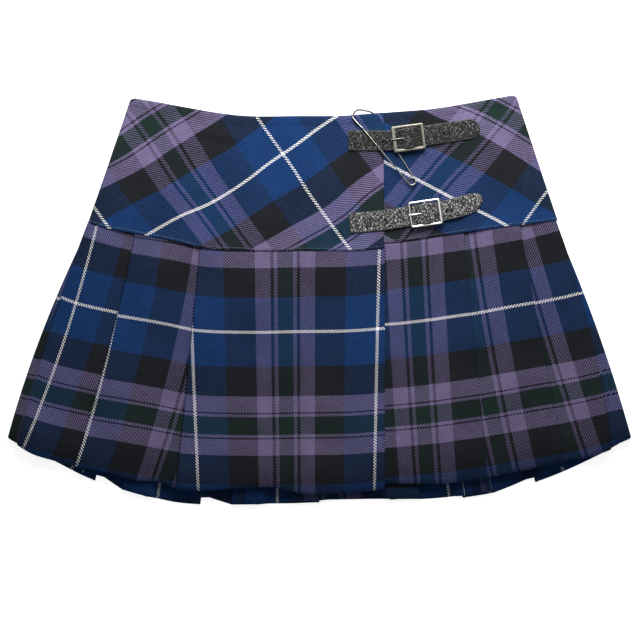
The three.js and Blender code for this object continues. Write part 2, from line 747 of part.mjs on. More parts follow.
function pinCap() {
  const height = pinHeights();
  const { sleeveTop, sleeveFoot } = pinPlan;
  const points = [
    new THREE.Vector3(sleeveFoot.x, sleeveFoot.y, height.sleeveFoot),
    new THREE.Vector3(sleeveTop.x, sleeveTop.y, height.sleeveTop),
  ];
  const radii = [pin.wireEnd, pin.sleeve];
  pinHead.forEach(({ x, y }, i) => {
    const part = Math.min(1, (i + 1) / (pinHead.length - 1));
    points.push(new THREE.Vector3(x, y, lerp(height.sleeveTop, height.between, part)));
    radii.push(lerp(pin.cap, pin.wireEnd, part));
  });
  return bar(points, radii, 8);
}

// Materials and assembly
const material = (color, roughness, metalness) =>
  new THREE.MeshStandardMaterial({ color, roughness, metalness });
const tartan = () => material("#2f4166", 0.9, 0);
const leather = () => material("#27251f", 0.45, 0);

const kilt = new THREE.Group();
function add(parent, name, geometry, finish) {
  const mesh = new THREE.Mesh(geometry, finish);
  mesh.name = name;
  parent.add(mesh);
}
add(kilt, "apron_yoke", apronYoke(), tartan());
add(kilt, "under_yoke", underYoke(), tartan());
add(kilt, "back_yoke", backYoke(), tartan());
add(kilt, "front_apron_skirt", apronSkirt(), tartan());
add(kilt, "front_under_skirt", underApronSkirt(), tartan());
add(kilt, "back_skirt", backSkirt(), tartan());

closures.forEach((closure) => {
  const plane = restPlane(closure.centre);
  add(kilt, `strap_${closure.name}`, strapSolid(closure, plane), leather());
  const fitting = new THREE.Group();
  const basis = new THREE.Matrix4();
  const ahead = new THREE.Vector3(plane.ahead.x, plane.ahead.y, plane.rise).normalize();
  const across = new THREE.Vector3(-plane.ahead.y, plane.ahead.x, plane.lean).normalize();
  const up = new THREE.Vector3().crossVectors(ahead, across).normalize();
  basis.makeBasis(ahead, new THREE.Vector3().crossVectors(up, ahead), up);
  fitting.quaternion.setFromRotationMatrix(basis);
  fitting.position.set(closure.centre.x, closure.centre.y, plane.base);
  fitting.position.addScaledVector(up, buckle.lift);
  add(fitting, `buckle_frame_${closure.name}`, frameSolid(), material("#c9cbcd", 0.25, 1));
  add(fitting, `prong_${closure.name}`, prongSolid(), material("#d5d6d8", 0.25, 1));
  add(fitting, `buckle_tab_${closure.name}`, tabSolid(), leather());
  kilt.add(fitting);
});
add(kilt, "kilt_pin", pinWire(), material("#c8cacb", 0.3, 1));
add(kilt, "pin_cap", pinCap(), material("#c8cacb", 0.3, 1));

// The origin is under the middle of the skirt, on the surface
const extent = new THREE.Box3().setFromObject(kilt, true);
const middle = extent.getCenter(new THREE.Vector3());
kilt.position.set(-middle.x, -middle.y, -extent.min.z);

export default kilt;
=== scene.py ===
# A short tartan kilt skirt laid flat, front up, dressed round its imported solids
import math

import bpy
import numpy as np
from mathutils import Matrix, Vector
from mathutils.bvhtree import BVHTree


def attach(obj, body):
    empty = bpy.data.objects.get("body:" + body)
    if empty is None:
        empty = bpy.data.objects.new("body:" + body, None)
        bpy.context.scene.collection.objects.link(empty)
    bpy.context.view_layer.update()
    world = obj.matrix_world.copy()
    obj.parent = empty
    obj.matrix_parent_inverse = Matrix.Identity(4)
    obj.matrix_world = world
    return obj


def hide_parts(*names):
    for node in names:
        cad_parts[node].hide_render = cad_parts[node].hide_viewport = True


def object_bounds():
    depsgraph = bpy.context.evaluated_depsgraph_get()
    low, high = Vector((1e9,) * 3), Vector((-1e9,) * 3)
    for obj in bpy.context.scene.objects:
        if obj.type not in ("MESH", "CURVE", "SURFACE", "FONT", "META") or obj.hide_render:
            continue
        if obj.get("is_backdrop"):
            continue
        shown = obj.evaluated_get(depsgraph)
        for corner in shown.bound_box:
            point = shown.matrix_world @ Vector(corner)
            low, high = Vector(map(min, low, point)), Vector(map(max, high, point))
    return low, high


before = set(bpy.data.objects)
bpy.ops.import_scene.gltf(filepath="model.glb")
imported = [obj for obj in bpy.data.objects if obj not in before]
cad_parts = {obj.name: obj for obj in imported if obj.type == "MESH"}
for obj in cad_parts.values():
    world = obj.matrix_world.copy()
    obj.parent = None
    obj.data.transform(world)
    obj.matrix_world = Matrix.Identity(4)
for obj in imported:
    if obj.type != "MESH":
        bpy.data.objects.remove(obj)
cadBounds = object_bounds()
mm = 0.001
print("frame loaded:", len(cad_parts), "nodes")

# The drawing's origin is a little off the middle of the outline, where the frame has its own
outlineShift = 0.289

# Camera and how the photograph is scaled: its frame is 640 pixels, 0.92 mm each
view = {"pixels": 640, "scale": 0.92, "lens": 100, "sensor": 36, "planeHeight": 8}
originPixel = (319.5, 299.0)


def fromPixel(px, py):
    return ((px - originPixel[0]) * view["scale"], (originPixel[1] - py) * view["scale"])


def makeCamera():
    data = bpy.data.cameras.new("frontCamera")
    data.lens = view["lens"]
    data.sensor_width = view["sensor"]
    data.clip_end = 20
    camera = bpy.data.objects.new("frontCamera", data)
    centre = fromPixel(view["pixels"] / 2, view["pixels"] / 2)
    span = view["pixels"] * view["scale"]
    distance = span * view["lens"] / view["sensor"] + view["planeHeight"]
    camera.location = (centre[0] * mm, (centre[1] + outlineShift) * mm, distance * mm)
    bpy.context.collection.objects.link(camera)
    bpy.context.scene.camera = camera


makeCamera()

# Cloth: sizes shared by every piece, in millimetres
cloth = {
    "wall": 1.0,
    "headGap": 0.3,
    "hemGap": 1.1,
    "seamGap": 0.3,
    "hiddenLift": 0.5,
    "step": 4.0,
    "rows": 58,
    "yokeRows": 34,
    "turnPieces": 6,
    "edgeRound": 0.42,
    "nearFold": 3,
}
overlap = {"yoke": 58.9, "skirt": 59.8, "underEnd": -20}
pinGap = 2.0
halfWarp = 83.0
halfWeft = 86.3

# Edges seen from above, as x and y
waist = [
    (-175.3, 185.8), (-150.4, 181.7), (-128.3, 177.6), (-98.9, 172.5), (-69.5, 168.8),
    (-17.9, 168.4), (23.5, 168.8), (63, 172), (107.2, 175.7), (151.3, 183.1), (182.6, 188.6),
]
overSeam = [
    (-213, 71.8), (-201.9, 68.1), (-169.7, 61.6), (-128.3, 53.4), (-109.9, 48.8), (-63.9, 46),
    (-17.9, 46), (28.1, 46), (59.8, 47.8),
]
underSeam = [
    (-20, 49.5), (64.9, 53.4), (92.5, 56.6), (120.1, 60.7), (166.1, 67.2), (219.4, 73.6),
]
backSeam = [(-213, 71.8), (-150, 56), (-60, 44), (70, 44), (150, 58), (219.4, 73.6)]
overHem = [
    (-287.5, -127), (-266.3, -140.8), (-247.9, -147.2), (-224, -153.6), (-201.9, -157.8),
    (-169.7, -166.1), (-146.7, -168.4), (-132, -174), (-109.9, -175.7), (-63.9, -173),
    (-40.9, -173), (-17.9, -178.5), (0.5, -179.4), (28.1, -177.6), (59.8, -174.8),
]
underHem = [
    (-20, -172), (61.2, -169.7), (110.9, -169.3), (151.3, -164.7), (166.1, -161.9),
    (202.9, -153.6), (226.8, -148.6), (248.9, -144.4), (267.3, -138), (287.5, -127),
]
backHem = [
    (-287.5, -127), (-241.5, -150.9), (-209.3, -166.5), (-111.8, -189.1), (74.1, -184.5),
    (132, -183.1), (200.1, -168.4), (258.1, -143.5), (287.5, -127),
]
backWaistDrop = 1.5


# A fold: its line's x at head, middle and hem, its depth folded under at head and hem, how much higher
# the hem is beyond it, and the side that it faces
def foldRow(line, depth, step, faces):
    return {"line": line, "depth": depth, "step": step, "faces": faces}


overPleats = [
    foldRow((-213, -248.8, -278), (12, 18), 0, -1),
    foldRow((-169.7, -193.7, -225), (24, 28), 0, -1),
    foldRow((-109.9, -120.6, -132), (28, 34), 0, -1),
]
underPleats = [
    foldRow((132.9, 143.5, 155), (26, 30), 0, 1),
    foldRow((184.5, 204.3, 226.8), (22, 28), 0, 1),
    foldRow((217.5, 250, 268), (11, 18), 0, 1),
]
backPleats = [
    foldRow((-155, -181, -207), (17, 24), 6, 1),
    foldRow((-118, -138, -158), (17, 24), 0.6, 1),
    foldRow((-82, -96, -110), (17, 24), 6.5, 1),
    foldRow((-41, -48, -55), (18, 26), 0.5, 1),
    foldRow((0, 0, 0), (18, 26), 2, 1),
    foldRow((49, 57, 65), (20, 28), 0.8, -1),
    foldRow((99, 115.5, 132), (20, 28), 2, -1),
    foldRow((149, 174, 199), (20, 28), 5, -1),
]
backEase = 8
sides = {
    "overSkirt": (-211, -255, -287.5),
    "underSkirt": (216, 256, 287.5),
    "overYoke": (-175.3, -194.2, -213),
    "underYoke": (182.6, 201, 219.4),
}


# Where the sett lies on a panel: x of its green middle at head, middle and hem, how much the panel is
# drawn in left and right of it at head and hem, how far down the white weft runs there, and its slant
def panelRow(green, left, right, white, slant):
    return {"green": green, "left": left, "right": right, "white": white, "slant": slant}


overPanels = [
    panelRow((-222.7, -258.5, -287.7), (1, 1), (1, 1), 74.5, 0),
    panelRow((-132.5, -162.4, -200.1), (0.87, 0.87), (0.87, 0.87), 78.5, 0.06),
    panelRow((-88.4, -110.4, -143), (1.035, 0.965), (0.98, 0.98), 76.7, -0.029),
    panelRow((-31.5, -30.8, -29.6), (1.068, 0.985), (1.045, 0.965), 76, -0.015),
]
underPanels = [
    panelRow((86.9, 92.5, 99.8), (0.99, 0.99), (0.99, 0.99), 76.4, 0),
    panelRow((130.2, 147.7, 170.7), (0.98, 0.98), (1.06, 1.06), 76.5, -0.045),
    panelRow((168.8, 201, 234.7), (0.97, 0.97), (0.97, 0.97), 75, -0.11),
    panelRow((163, 193, 208), (1, 1), (1, 1), 77.8, -0.11),
]
# On the back, the middle lies a fixed way beside one of the fold lines
backPlaces = [(0, 61), (1, 61), (2, 43.5), (2, 57), (4, 44), (5, -53), (6, -95), (7, 42), (7, 109)]
backPanels = [
    panelRow(tuple(x + offset for x in backPleats[fold]["line"]), (1, 1), (1, 1), 77, 0)
    for fold, offset in backPlaces
]
# The yokes' sett is placed in another way
plainPanel = panelRow((0, 0, 0), (1, 1), (1, 1), 0, 0)

layer = {"backOut": 0, "backMid": 1, "backIn": 2, "frontIn": 3, "frontMid": 4, "frontOut": 5}
frontLayers = (layer["frontOut"], layer["frontMid"], layer["frontIn"])
backLayers = (layer["backOut"], layer["backMid"], layer["backIn"])


def mix(a, b, part):
    return a + (b - a) * part


def smooth(x):
    x = np.clip(x, 0, 1)
    return x * x * (3 - 2 * x)


# A curve through a table's points, rounded between them but never past them
def along(curve, x):
    xs = np.array([p[0] for p in curve], float)
    ys = np.array([p[1] for p in curve], float)
    slopes = np.diff(ys) / np.diff(xs)
    tangents = np.concatenate([[slopes[0]], (slopes[1:] + slopes[:-1]) / 2, [slopes[-1]]])
    turned = slopes[1:] * slopes[:-1] < 0
    tangents[1:-1][turned] *= 0.3
    x = np.asarray(x, float)
    k = np.clip(np.searchsorted(xs, x) - 1, 0, len(xs) - 2)
    width = xs[k + 1] - xs[k]
    t = (x - xs[k]) / width
    inside = np.clip(t, 0, 1)
    h00 = 2 * inside**3 - 3 * inside**2 + 1
    h10 = inside**3 - 2 * inside**2 + inside
    h01 = 1 - h00
    h11 = inside**3 - inside**2
    y = h00 * ys[k] + h10 * width * tangents[k] + h01 * ys[k + 1] + h11 * width * tangents[k + 1]
    return y + (t - inside) * width * np.where(t > 1, tangents[-1], tangents[0])


def lineAt(line, v):
    head, middle, hem = line
    bow = middle - (head + hem) / 2
    return head + (hem - head) * v + 4 * bow * v * (1 - v)


def pitch(v):
    return cloth["wall"] + mix(cloth["headGap"], cloth["hemGap"], v)


def layerZ(count, v):
    return cloth["wall"] / 2 + count * pitch(v)


# Heights of the yokes' middle, as the solids have them
apronDrop = (-80, -25)
underRise = (62, underPleats[0]["line"][0] - underPleats[0]["depth"][0])
waistZ = cloth["wall"] / 2 + cloth["wall"] + cloth["headGap"]


def share(x, ends):
    return np.clip((x - ends[0]) / (ends[1] - ends[0]), 0, 1)


def overYokeZ(x, v):
    atWaist = waistZ + share(x, apronDrop) * (cloth["wall"] + pinGap)
    atSeam = layerZ(mix(layer["frontOut"], layer["frontMid"], share(x, apronDrop)), 0)
    return mix(atWaist, atSeam, v)


def underYokeZ(x, v):
    atSeam = layerZ(mix(layer["frontIn"], layer["frontOut"], share(x, underRise)), 0)
    return mix(waistZ, atSeam, v)


def backYokeZ(x, v):
    return np.full(np.broadcast(x, v).shape, cloth["wall"] / 2)


def downYoke(seam, x, y):
    top = along(waist, x)
    return (top - y) / (top - along(seam, x))


def overTop(x, y):
    return overYokeZ(x, downYoke(overSeam, x, y)) + cloth["wall"] / 2


def underTop(x, y):
    return underYokeZ(x, downYoke(underSeam, x, y)) + cloth["wall"] / 2


# Chains of stations: each is a column of cloth from head to foot, with its place in the sett
class Chain:
    def __init__(self, rowCount):
        self.v = np.linspace(0, 1, rowCount + 1)
        self.x, self.z, self.lift, self.u, self.white, self.upright = [], [], [], [], [], []

    def add(self, x, z, lift, u, white, upright=False):
        self.x.append(x + 0 * self.v)
        self.z.append(z + 0 * self.v)
        self.lift.append(lift)
        self.u.append(None if u is None else u + 0 * self.v)
        self.white.append(white)
        self.upright.append(upright)
    def addAll(self, stations):
        for station in stations:
            self.add(*station)
    def runTo(self, x, z, lift, panel):
        fromX, fromZ, fromLift = self.x[-1], self.z[-1], self.lift[-1]
        longest = float(np.abs(x - fromX).max())
        pieces = max(1, math.ceil(longest / cloth["step"]))
        for i in range(1, pieces + 1):
            part = i / pieces
            self.addOn(mix(fromX, x, part), mix(fromZ, z, part), mix(fromLift, lift, part), panel)

    def addOn(self, x, z, lift, panel):
        self.add(x, z, lift, *self.settAt(x, panel))

    # Place in the sett across a panel, and how far down the white weft runs there
    def settAt(self, x, panel):
        if panel is None:
            return None, None
        off = x + 0 * self.v - lineAt(panel["green"], self.v)
        drawn = np.where(off < 0, mix(*panel["left"], self.v), mix(*panel["right"], self.v))
        return off / drawn, panel["white"] + panel["slant"] * off[len(off) // 2]

    # Half a turn from one layer to the next. on says which end joins a panel that shows: -1 its first
    # station, 1 its last, 0 neither
    def turn(self, edge, bulge, start, end, lift, panel, on):
        radius = pitch(self.v) / 2
        pieces = cloth["turnPieces"]
        edgeU = white = None
        if on:
            edgeU, white = self.settAt(edge - bulge * (radius + cloth["wall"] / 2), panel)
        for i in range(pieces + 1):
            angle = (i / pieces - 0.5) * math.pi
            x = edge - bulge * (radius + cloth["wall"] / 2 - radius * math.cos(angle))
            z = layerZ((start + end) / 2, self.v) + (end - start) * radius * math.sin(angle)
            travelled = (i if on < 0 else pieces - i) / pieces * math.pi * radius
            u = edgeU + bulge * travelled if on else None
            self.add(x, z, lift, u, white)

    def sideTurn(self, edge, side, own, other, panel):
        stations = []
        pieces = cloth["turnPieces"]
        radius = np.abs(own - other) / 2
        up = np.sign(own - other)
        flatX = edge - side * (radius + cloth["wall"] / 2)
        flatU, white = self.settAt(flatX, panel)
        for i in range(pieces + 1):
            angle = i / pieces * math.pi / 2
            x = edge - side * (radius + cloth["wall"] / 2 - radius * math.cos(angle))
            rise = np.maximum(radius * math.sin(angle), cloth["seamGap"] / 2)
            u = flatU + side * (math.pi / 2 - angle) * radius
            stations.append((x, (own + other) / 2 + up * rise, 0, u, white, i == 0))
        return stations

    def pleat(self, fold, before, after, layers, ease=0, atSide=False):
        faces, step = fold["faces"], fold["step"]
        edge = lineAt(fold["line"], self.v)
        deep = edge - faces * mix(*fold["depth"], self.v)
        hidden = step + cloth["hiddenLift"]
        out, mid, inner = layers
        outZ, innerZ = layerZ(out, self.v), layerZ(inner, self.v)
        if faces > 0:
            self.runTo(deep, outZ, 0, before)
            self.runTo(edge - cloth["nearFold"], outZ, 0, before)
            self.turn(edge, faces, out, mid, 0, before, -1)
            self.turn(deep, -faces, mid, inner, hidden, None, 0)
            if not atSide:
                self.runTo(edge + faces, innerZ, step, after)
            if ease:
                self.runTo(edge + ease, outZ, step, after)
        else:
            if ease:
                self.runTo(edge - ease, outZ, step, before)
            if not atSide:
                self.runTo(edge + faces, innerZ, step, before)
            self.turn(deep, -faces, inner, mid, hidden, None, 0)
            self.turn(edge, faces, mid, out, 0, after, 1)
            self.runTo(deep + 1, outZ, 0, after)

    # Grids of x, z, cloth coordinate u and the height of the white weft, with what is hidden filled in
    def grids(self):
        x, z = np.array(self.x), np.array(self.z)
        lengths = np.hypot(np.diff(x, axis=0), np.diff(z, axis=0))
        travelled = np.vstack([0 * self.v, np.cumsum(lengths, axis=0)])
        known = [i for i, u in enumerate(self.u) if u is not None]
        u = np.zeros_like(x)
        white = np.zeros_like(x)
        for j in range(len(self.v)):
            at = travelled[known, j]
            u[:, j] = np.interp(travelled[:, j], at, [self.u[i][j] for i in known])
            white[:, j] = np.interp(travelled[:, j], at, [self.white[i] for i in known])
        return x, z, u, white


# Unit normals of a section's points, mitred at its corners
def mitres(x, z, upright):
    dx, dz = np.diff(x, axis=0), np.diff(z, axis=0)
    size = np.maximum(np.hypot(dx, dz), 1e-9)
    dx, dz = dx / size, dz / size
    backX, backZ = np.vstack([dx[:1], dx]), np.vstack([dz[:1], dz])
    nextX, nextZ = np.vstack([dx, dx[-1:]]), np.vstack([dz, dz[-1:]])
    midX, midZ = backX + nextX, backZ + nextZ
    size = np.hypot(midX, midZ)
    midX, midZ = midX / size, midZ / size
    stretch = 1 / np.maximum(midX * backX + midZ * backZ, 0.6)
    nx, nz = -midZ * stretch, midX * stretch
    for i, flag in enumerate(upright):
        if flag:
            nx[i], nz[i] = np.sign(nx[i]), 0
    return nx, nz


def placePiece(name, mesh):
    piece = bpy.data.objects.new(name, mesh)
    bpy.context.collection.objects.link(piece)
    return piece


# Values of points, written to the corners of faces as a map of their own
def paintMap(mesh, mapName, values):
    corners = np.zeros(len(mesh.loops), int)
    mesh.loops.foreach_get("vertex_index", corners)
    painted = mesh.uv_layers.new(name=mapName)
    painted.data.foreach_set("uv", np.asarray(values, float)[corners].ravel())


def trianglesOf(faces):
    for face in faces:
        for k in range(1, len(face) - 1):
            yield face[0], face[k], face[k + 1]


def linkMesh(name, points, faces, uvs=None, lean=None):
    mesh = bpy.data.meshes.new(name)
    mesh.from_pydata([tuple(p) for p in points], [], faces)
    triangles = ((Vector(points[i]) for i in corners) for corners in trianglesOf(faces))
    if sum(a.dot(b.cross(c)) for a, b, c in triangles) < 0:
        mesh.flip_normals()
    if uvs is not None:
        paintMap(mesh, "clothUv", uvs)
        attribute = mesh.attributes.new("twillLean", "FLOAT", "POINT")
        attribute.data.foreach_set("value", np.full(len(points), float(lean)))
    mesh.shade_smooth()
    mesh.validate()
    return placePiece(name, mesh)


# Places in order round a grid's edge, as row and column
def ringOf(rows, columns):
    ring = [(a, 0) for a in range(rows)] + [(rows - 1, b) for b in range(1, columns)]
    ring += [(a, columns - 1) for a in range(rows - 2, -1, -1)]
    return ring + [(0, b) for b in range(columns - 2, 0, -1)]


# The way out of a grid at a place on its edge
def outward(grid, a, b):
    inside = (min(max(a, 1), grid.shape[0] - 2), min(max(b, 1), grid.shape[1] - 2))
    out = grid[a, b] - grid[inside]
    return out / max(np.linalg.norm(out), 1e-9)


# Faces of a closed sheet. Its points are two grids, then a column of rim points for each place on the ring
def shellFaces(rows, columns, ring, rims):
    under = rows * columns
    faces = []
    for a in range(rows - 1):
        for b in range(columns - 1):
            i = a * columns + b
            faces.append((i, i + 1, i + columns + 1, i + columns))
            faces.append((under + i, under + i + columns, under + i + columns + 1, under + i + 1))
    for k, (a, b) in enumerate(ring):
        beyond = (k + 1) % len(ring)
        here, there = a * columns + b, ring[beyond][0] * columns + ring[beyond][1]
        near = [here, *rims[k], under + here]
        far = [there, *rims[beyond], under + there]
        for m in range(len(near) - 1):
            faces.append((near[m], far[m], far[m + 1], near[m + 1]))
    return faces


# A closed sheet from grids of its middle: two faces a wall apart, with rounded edges all round
def sheetMesh(name, x, y, z, nx, nz, u, v, lean):
    middle = np.stack([x, y, z], axis=-1)
    normal = np.stack([nx, 0 * nx, nz], axis=-1) * (cloth["wall"] / 2)
    points = [*(middle + normal).reshape(-1, 3), *(middle - normal).reshape(-1, 3)]
    coords = [*np.stack([u, v], axis=-1).reshape(-1, 2)] * 2
    ring = ringOf(*x.shape)
    rims = []
    for i, j in ring:
        rims.append([len(points)])
        points.append(middle[i, j] + outward(middle, i, j) * cloth["edgeRound"])
        coords.append(np.array([u[i, j], v[i, j]]))
    placed = np.array(points)
    placed[:, 1] += outlineShift
    return linkMesh(name, placed * mm, shellFaces(*x.shape, ring, rims), np.array(coords) * mm, lean)


# Soft swells of cloth that lies loosely: waves of fixed direction, length and phase
swells = [
    (0.35, 71, 12, 0.4), (0.28, 53, 97, 1.7), (0.2, 38, 61, 2.9), (0.16, 31, 141, 4.1), (0.12, 23, 33, 5.3),
    (0.1, 19, 109, 0.9),
]


def swell(x, y):
    total = 0 * x
    for size, length, degrees, phase in swells:
        angle = math.radians(degrees)
        total = total + size * np.sin(
            (x * math.cos(angle) + y * math.sin(angle)) * 2 * math.pi / length + phase
        )
    return total


# Creases and rolls: from and to in x and y, half width, height (below 0 is a trough)
skirtRolls = [
    ((-112, 30), (-124, -60), 6, 0.8),
    ((-118, -40), (-131, -172), 8, 1.9),
    ((-140, -10), (-152, -168), 8, -0.7),
    ((-172, 40), (-199, -60), 6, 0.8),
    ((-200, -70), (-222, -152), 7, 1.7),
    ((-150, 20), (-172, -110), 9, -0.6),
    ((-184, 10), (-205, -150), 6, 0.7),
    ((-238, -20), (-262, -134), 7, 0.9),
    ((-96, -70), (-108, -172), 11, -0.6),
    ((-60, -90), (-66, -172), 12, 1.1),
    ((-34, -60), (-36, -176), 9, -0.4),
    ((-10, -60), (0, -178), 15, 1.2),
    ((35, -90), (38, -176), 11, -0.5),
    ((52, 20), (55, -170), 6, 0.5),
    ((86, 30), (92, -165), 8, -0.5),
    ((105, 30), (116, -165), 8, 0.8),
    ((143, -20), (153, -163), 6, 1.6),
    ((125, -60), (131, -166), 7, -0.6),
    ((172, 20), (186, -156), 7, 0.5),
    ((200, -20), (222, -148), 6, 1.6),
    ((186, -50), (204, -150), 6, -0.6),
    ((240, -20), (252, -138), 6, -0.4),
    ((250, -40), (266, -136), 5, 0.9),
]
yokeRolls = [
    ((-118, 149), (-74, 141), 3, -1.5),
    ((-120, 155), (-76, 148), 4, 1.3),
    ((-74, 146), (-58, 158), 3.5, 0.8),
    ((-170, 120), (-120, 96), 10, 0.5),
    ((-60, 70), (20, 62), 9, 0.5),
    ((-30, 158), (40, 156), 7, -0.4),
    ((86, 128), (150, 118), 8, -0.4),
    ((170, 150), (196, 96), 9, 0.5),
    ((120, 100), (190, 84), 7, 0.35),
]


def rollHeight(rolls, x, y):
    total = 0 * x
    for start, end, half, height in rolls:
        ax, ay = start
        dx, dy = end[0] - ax, end[1] - ay
        length = math.hypot(dx, dy)
        part = ((x - ax) * dx + (y - ay) * dy) / length**2
        off = ((x - ax) * dy - (y - ay) * dx) / length
        ends = smooth(part * 3 + 0.3) * smooth((1.15 - part) * 4)
        total = total + height * np.exp(-((off / half) ** 2)) * ends
    return total


# Relief grows with the height of the layers, and down from the yokes
reliefFade = {"from": 3.4, "over": 3.2, "head": 60, "skirt": 0.9, "top": 0.3}


def relief(x, y, z):
    weight = smooth((z - reliefFade["from"]) / reliefFade["over"])
    down = smooth((reliefFade["head"] - y) / reliefFade["head"])
    waves = swell(x, y)
    onSkirt = down * (waves * reliefFade["skirt"] + rollHeight(skirtRolls, x, y))
    return weight * (onSkirt + (1 - down) * waves * reliefFade["top"])


def skirtPiece(name, chain, seam, hem, lean):
    x, z, u, white = chain.grids()
    lift = np.array(chain.lift)[:, None]
    headY = along(seam, x[:, 0])[:, None] - cloth["seamGap"] / 2
    footY = along(hem, x[:, -1])[:, None] + lift
    y = mix(headY, footY, chain.v[None, :])
    length = np.hypot(footY - headY, (x[:, -1] - x[:, 0])[:, None])
    v = chain.v[None, :] * length - white
    nx, nz = mitres(x, z, chain.upright)
    z = z + relief(x, y, z)
    return sheetMesh(name, x, y, z, nx, nz, u, v, lean)


def makeApronSkirt():
    chain = Chain(cloth["rows"])
    edge = lineAt(sides["overSkirt"], chain.v)
    own, other = layerZ(layer["frontIn"], chain.v), layerZ(layer["backOut"], chain.v)
    chain.addAll(chain.sideTurn(edge, -1, own, other, overPanels[0]))
    for i, fold in enumerate(overPleats):
        chain.pleat(fold, overPanels[i], overPanels[i + 1], frontLayers, atSide=i == 0)
    middle = layerZ(layer["frontMid"], chain.v)
    for x in (apronDrop[1], overlap["skirt"]):
        chain.runTo(x + 0 * chain.v, middle, 0, overPanels[-1])
    return skirtPiece("apronSkirtCloth", chain, overSeam, overHem, -1)


def makeUnderSkirt():
    chain = Chain(cloth["rows"])
    low, other = layerZ(layer["frontIn"], chain.v), layerZ(layer["backOut"], chain.v)
    chain.addOn(overlap["underEnd"] + 0 * chain.v, low, 0, underPanels[0])
    chain.runTo(underRise[0] + 0 * chain.v, low, 0, underPanels[0])
    last = len(underPleats) - 1
    for i, fold in enumerate(underPleats):
        chain.pleat(fold, underPanels[i], underPanels[i + 1], frontLayers, atSide=i == last)
    edge = lineAt(sides["underSkirt"], chain.v)
    chain.addAll(reversed(chain.sideTurn(edge, 1, low, other, underPanels[-1])))
    return skirtPiece("underSkirtCloth", chain, underSeam, underHem, 1)


def makeBackSkirt():
    chain = Chain(cloth["rows"])
    low, high = layerZ(layer["backOut"], chain.v), layerZ(layer["frontIn"], chain.v)
    left, right = lineAt(sides["overSkirt"], chain.v), lineAt(sides["underSkirt"], chain.v)
    chain.addAll(chain.sideTurn(left, -1, low, high, backPanels[0]))
    for i, fold in enumerate(backPleats):
        chain.pleat(fold, backPanels[i], backPanels[i + 1], backLayers, ease=backEase)
    stations = chain.sideTurn(right, 1, low, high, backPanels[-1])[::-1]
    chain.runTo(stations[0][0], stations[0][1], 0, backPanels[-1])
    chain.addAll(stations[1:])
    return skirtPiece("backSkirtCloth", chain, backSeam, backHem, -1)


# Yokes are cut on the bias: a point on a white line of each family of yarns, and the direction across it
bias = {
    "over": {
        "warpPoint": (-33.6, 134.3), "warp": (0.814, 0.581),
        "weftPoint": (-33.6, 134.3), "weft": (0.533, -0.846),
    },
    "under": {
        "warpPoint": (198.3, 88.3), "warp": (0.774, -0.634),
        "weftPoint": (124.7, 91.1), "weft": (-0.48, -0.877),
    },
    "back": {"warpPoint": (0, 120), "warp": (0.73, 0.68), "weftPoint": (30, 120), "weft": (0.68, -0.73)},
}
# Bias cloth has been pulled here and there: a place, and how far off the sett that shows there would lie
# if the cloth were flat
slides = {
    "over": [
        (-158.2, 129, -2.3, 4.8), (-122.6, 154.3, -3.4, 0.2), (-168.6, 103.7, 4.6, 2.5),
        (-129.5, 126.7, 4.6, 2.5), (-45.5, 75, 4.6, 1.4), (-32.9, 133.6, 0, 0.5), (-155.9, 60.7, 1.1, -2.3),
        (-77.7, 100.3, 0, 6.1), (9.7, 165.1, 0, -3.7), (6.2, 77.3, -1.3, 5.1), (-178.9, 73.8, 8, -1.2),
        (-154.8, 160, 3.4, -0.9), (-24.8, 63.5, 0.7, 4.1), (-201.8, 78.4, 5.7, 0), (53.4, 118.7, -1.2, -4.4),
        (30.4, 123.3, 1.9, -0.1),
    ],
    "under": [
        (164.2, 148.1, -7.4, -3.9), (168.4, 121, -4.6, -0.9), (171.8, 84.2, -9.2, 1.4),
        (122.4, 92.9, 0, -0.5), (198.3, 86.5, -1.2, 0), (60, 100, 0, 0),
    ],
    "back": [],
}
slideReach = 20
slideHold = 0.15

# The yoke's turned lower edge stands over the seam, its waist edge is faced and topstitched, its corners
# are round, and what lies right of calmFrom is flat
yokeEdge = {
    "reach": 0.9, "rise": 1.15, "width": 5.0, "stitchDown": 7.0, "groove": 0.35, "grooveHalf": 0.9,
    "puff": 0.4, "puffDown": 3.2, "puffHalf": 4.2, "corner": 4.0, "cornerShare": 0.9,
    "seamStitch": 1.7, "seamGroove": 0.3, "seamHalf": 0.8,
    "calmFrom": 10, "calmOver": 30, "calmEdge": 20, "swells": 0.45, "deepest": -1.1,
}


def slidTo(table, x, y):
    weights, moveX, moveY = slideHold + 0 * x, 0 * x, 0 * x
    for atX, atY, slideX, slideY in table:
        weight = np.exp(-((x - atX) ** 2 + (y - atY) ** 2) / (2 * slideReach**2))
        weights, moveX, moveY = weights + weight, moveX + weight * slideX, moveY + weight * slideY
    return x + moveX / weights, y + moveY / weights


def cornerDrop(fromSide):
    radius = yokeEdge["corner"]
    inside = np.clip(1 - fromSide / radius, 0, 1)
    return radius * (1 - np.sqrt(1 - inside**2)) * yokeEdge["cornerShare"]


def groove(off, half):
    return np.exp(-((off / half) ** 2))


# What the front yokes have over the solids' plain slope
def yokeRelief(x, y, fromFoot, fromHead):
    edge = yokeEdge
    turned = edge["rise"] * smooth(1 - fromFoot / edge["width"])
    puffed = edge["puff"] * smooth(1 - np.abs(fromHead - edge["puffDown"]) / edge["puffHalf"])
    sewn = edge["groove"] * groove(fromHead - edge["stitchDown"], edge["grooveHalf"])
    sewn = sewn + edge["seamGroove"] * groove(fromFoot - edge["seamStitch"], edge["seamHalf"])
    calm = smooth((edge["calmFrom"] - x) / edge["calmOver"])
    inner = smooth(fromHead / edge["calmEdge"]) * smooth(fromFoot / edge["calmEdge"])
    creased = swell(x, y) * edge["swells"] + np.maximum(rollHeight(yokeRolls, x, y), edge["deepest"])
    return turned + puffed - sewn + creased * calm * inner


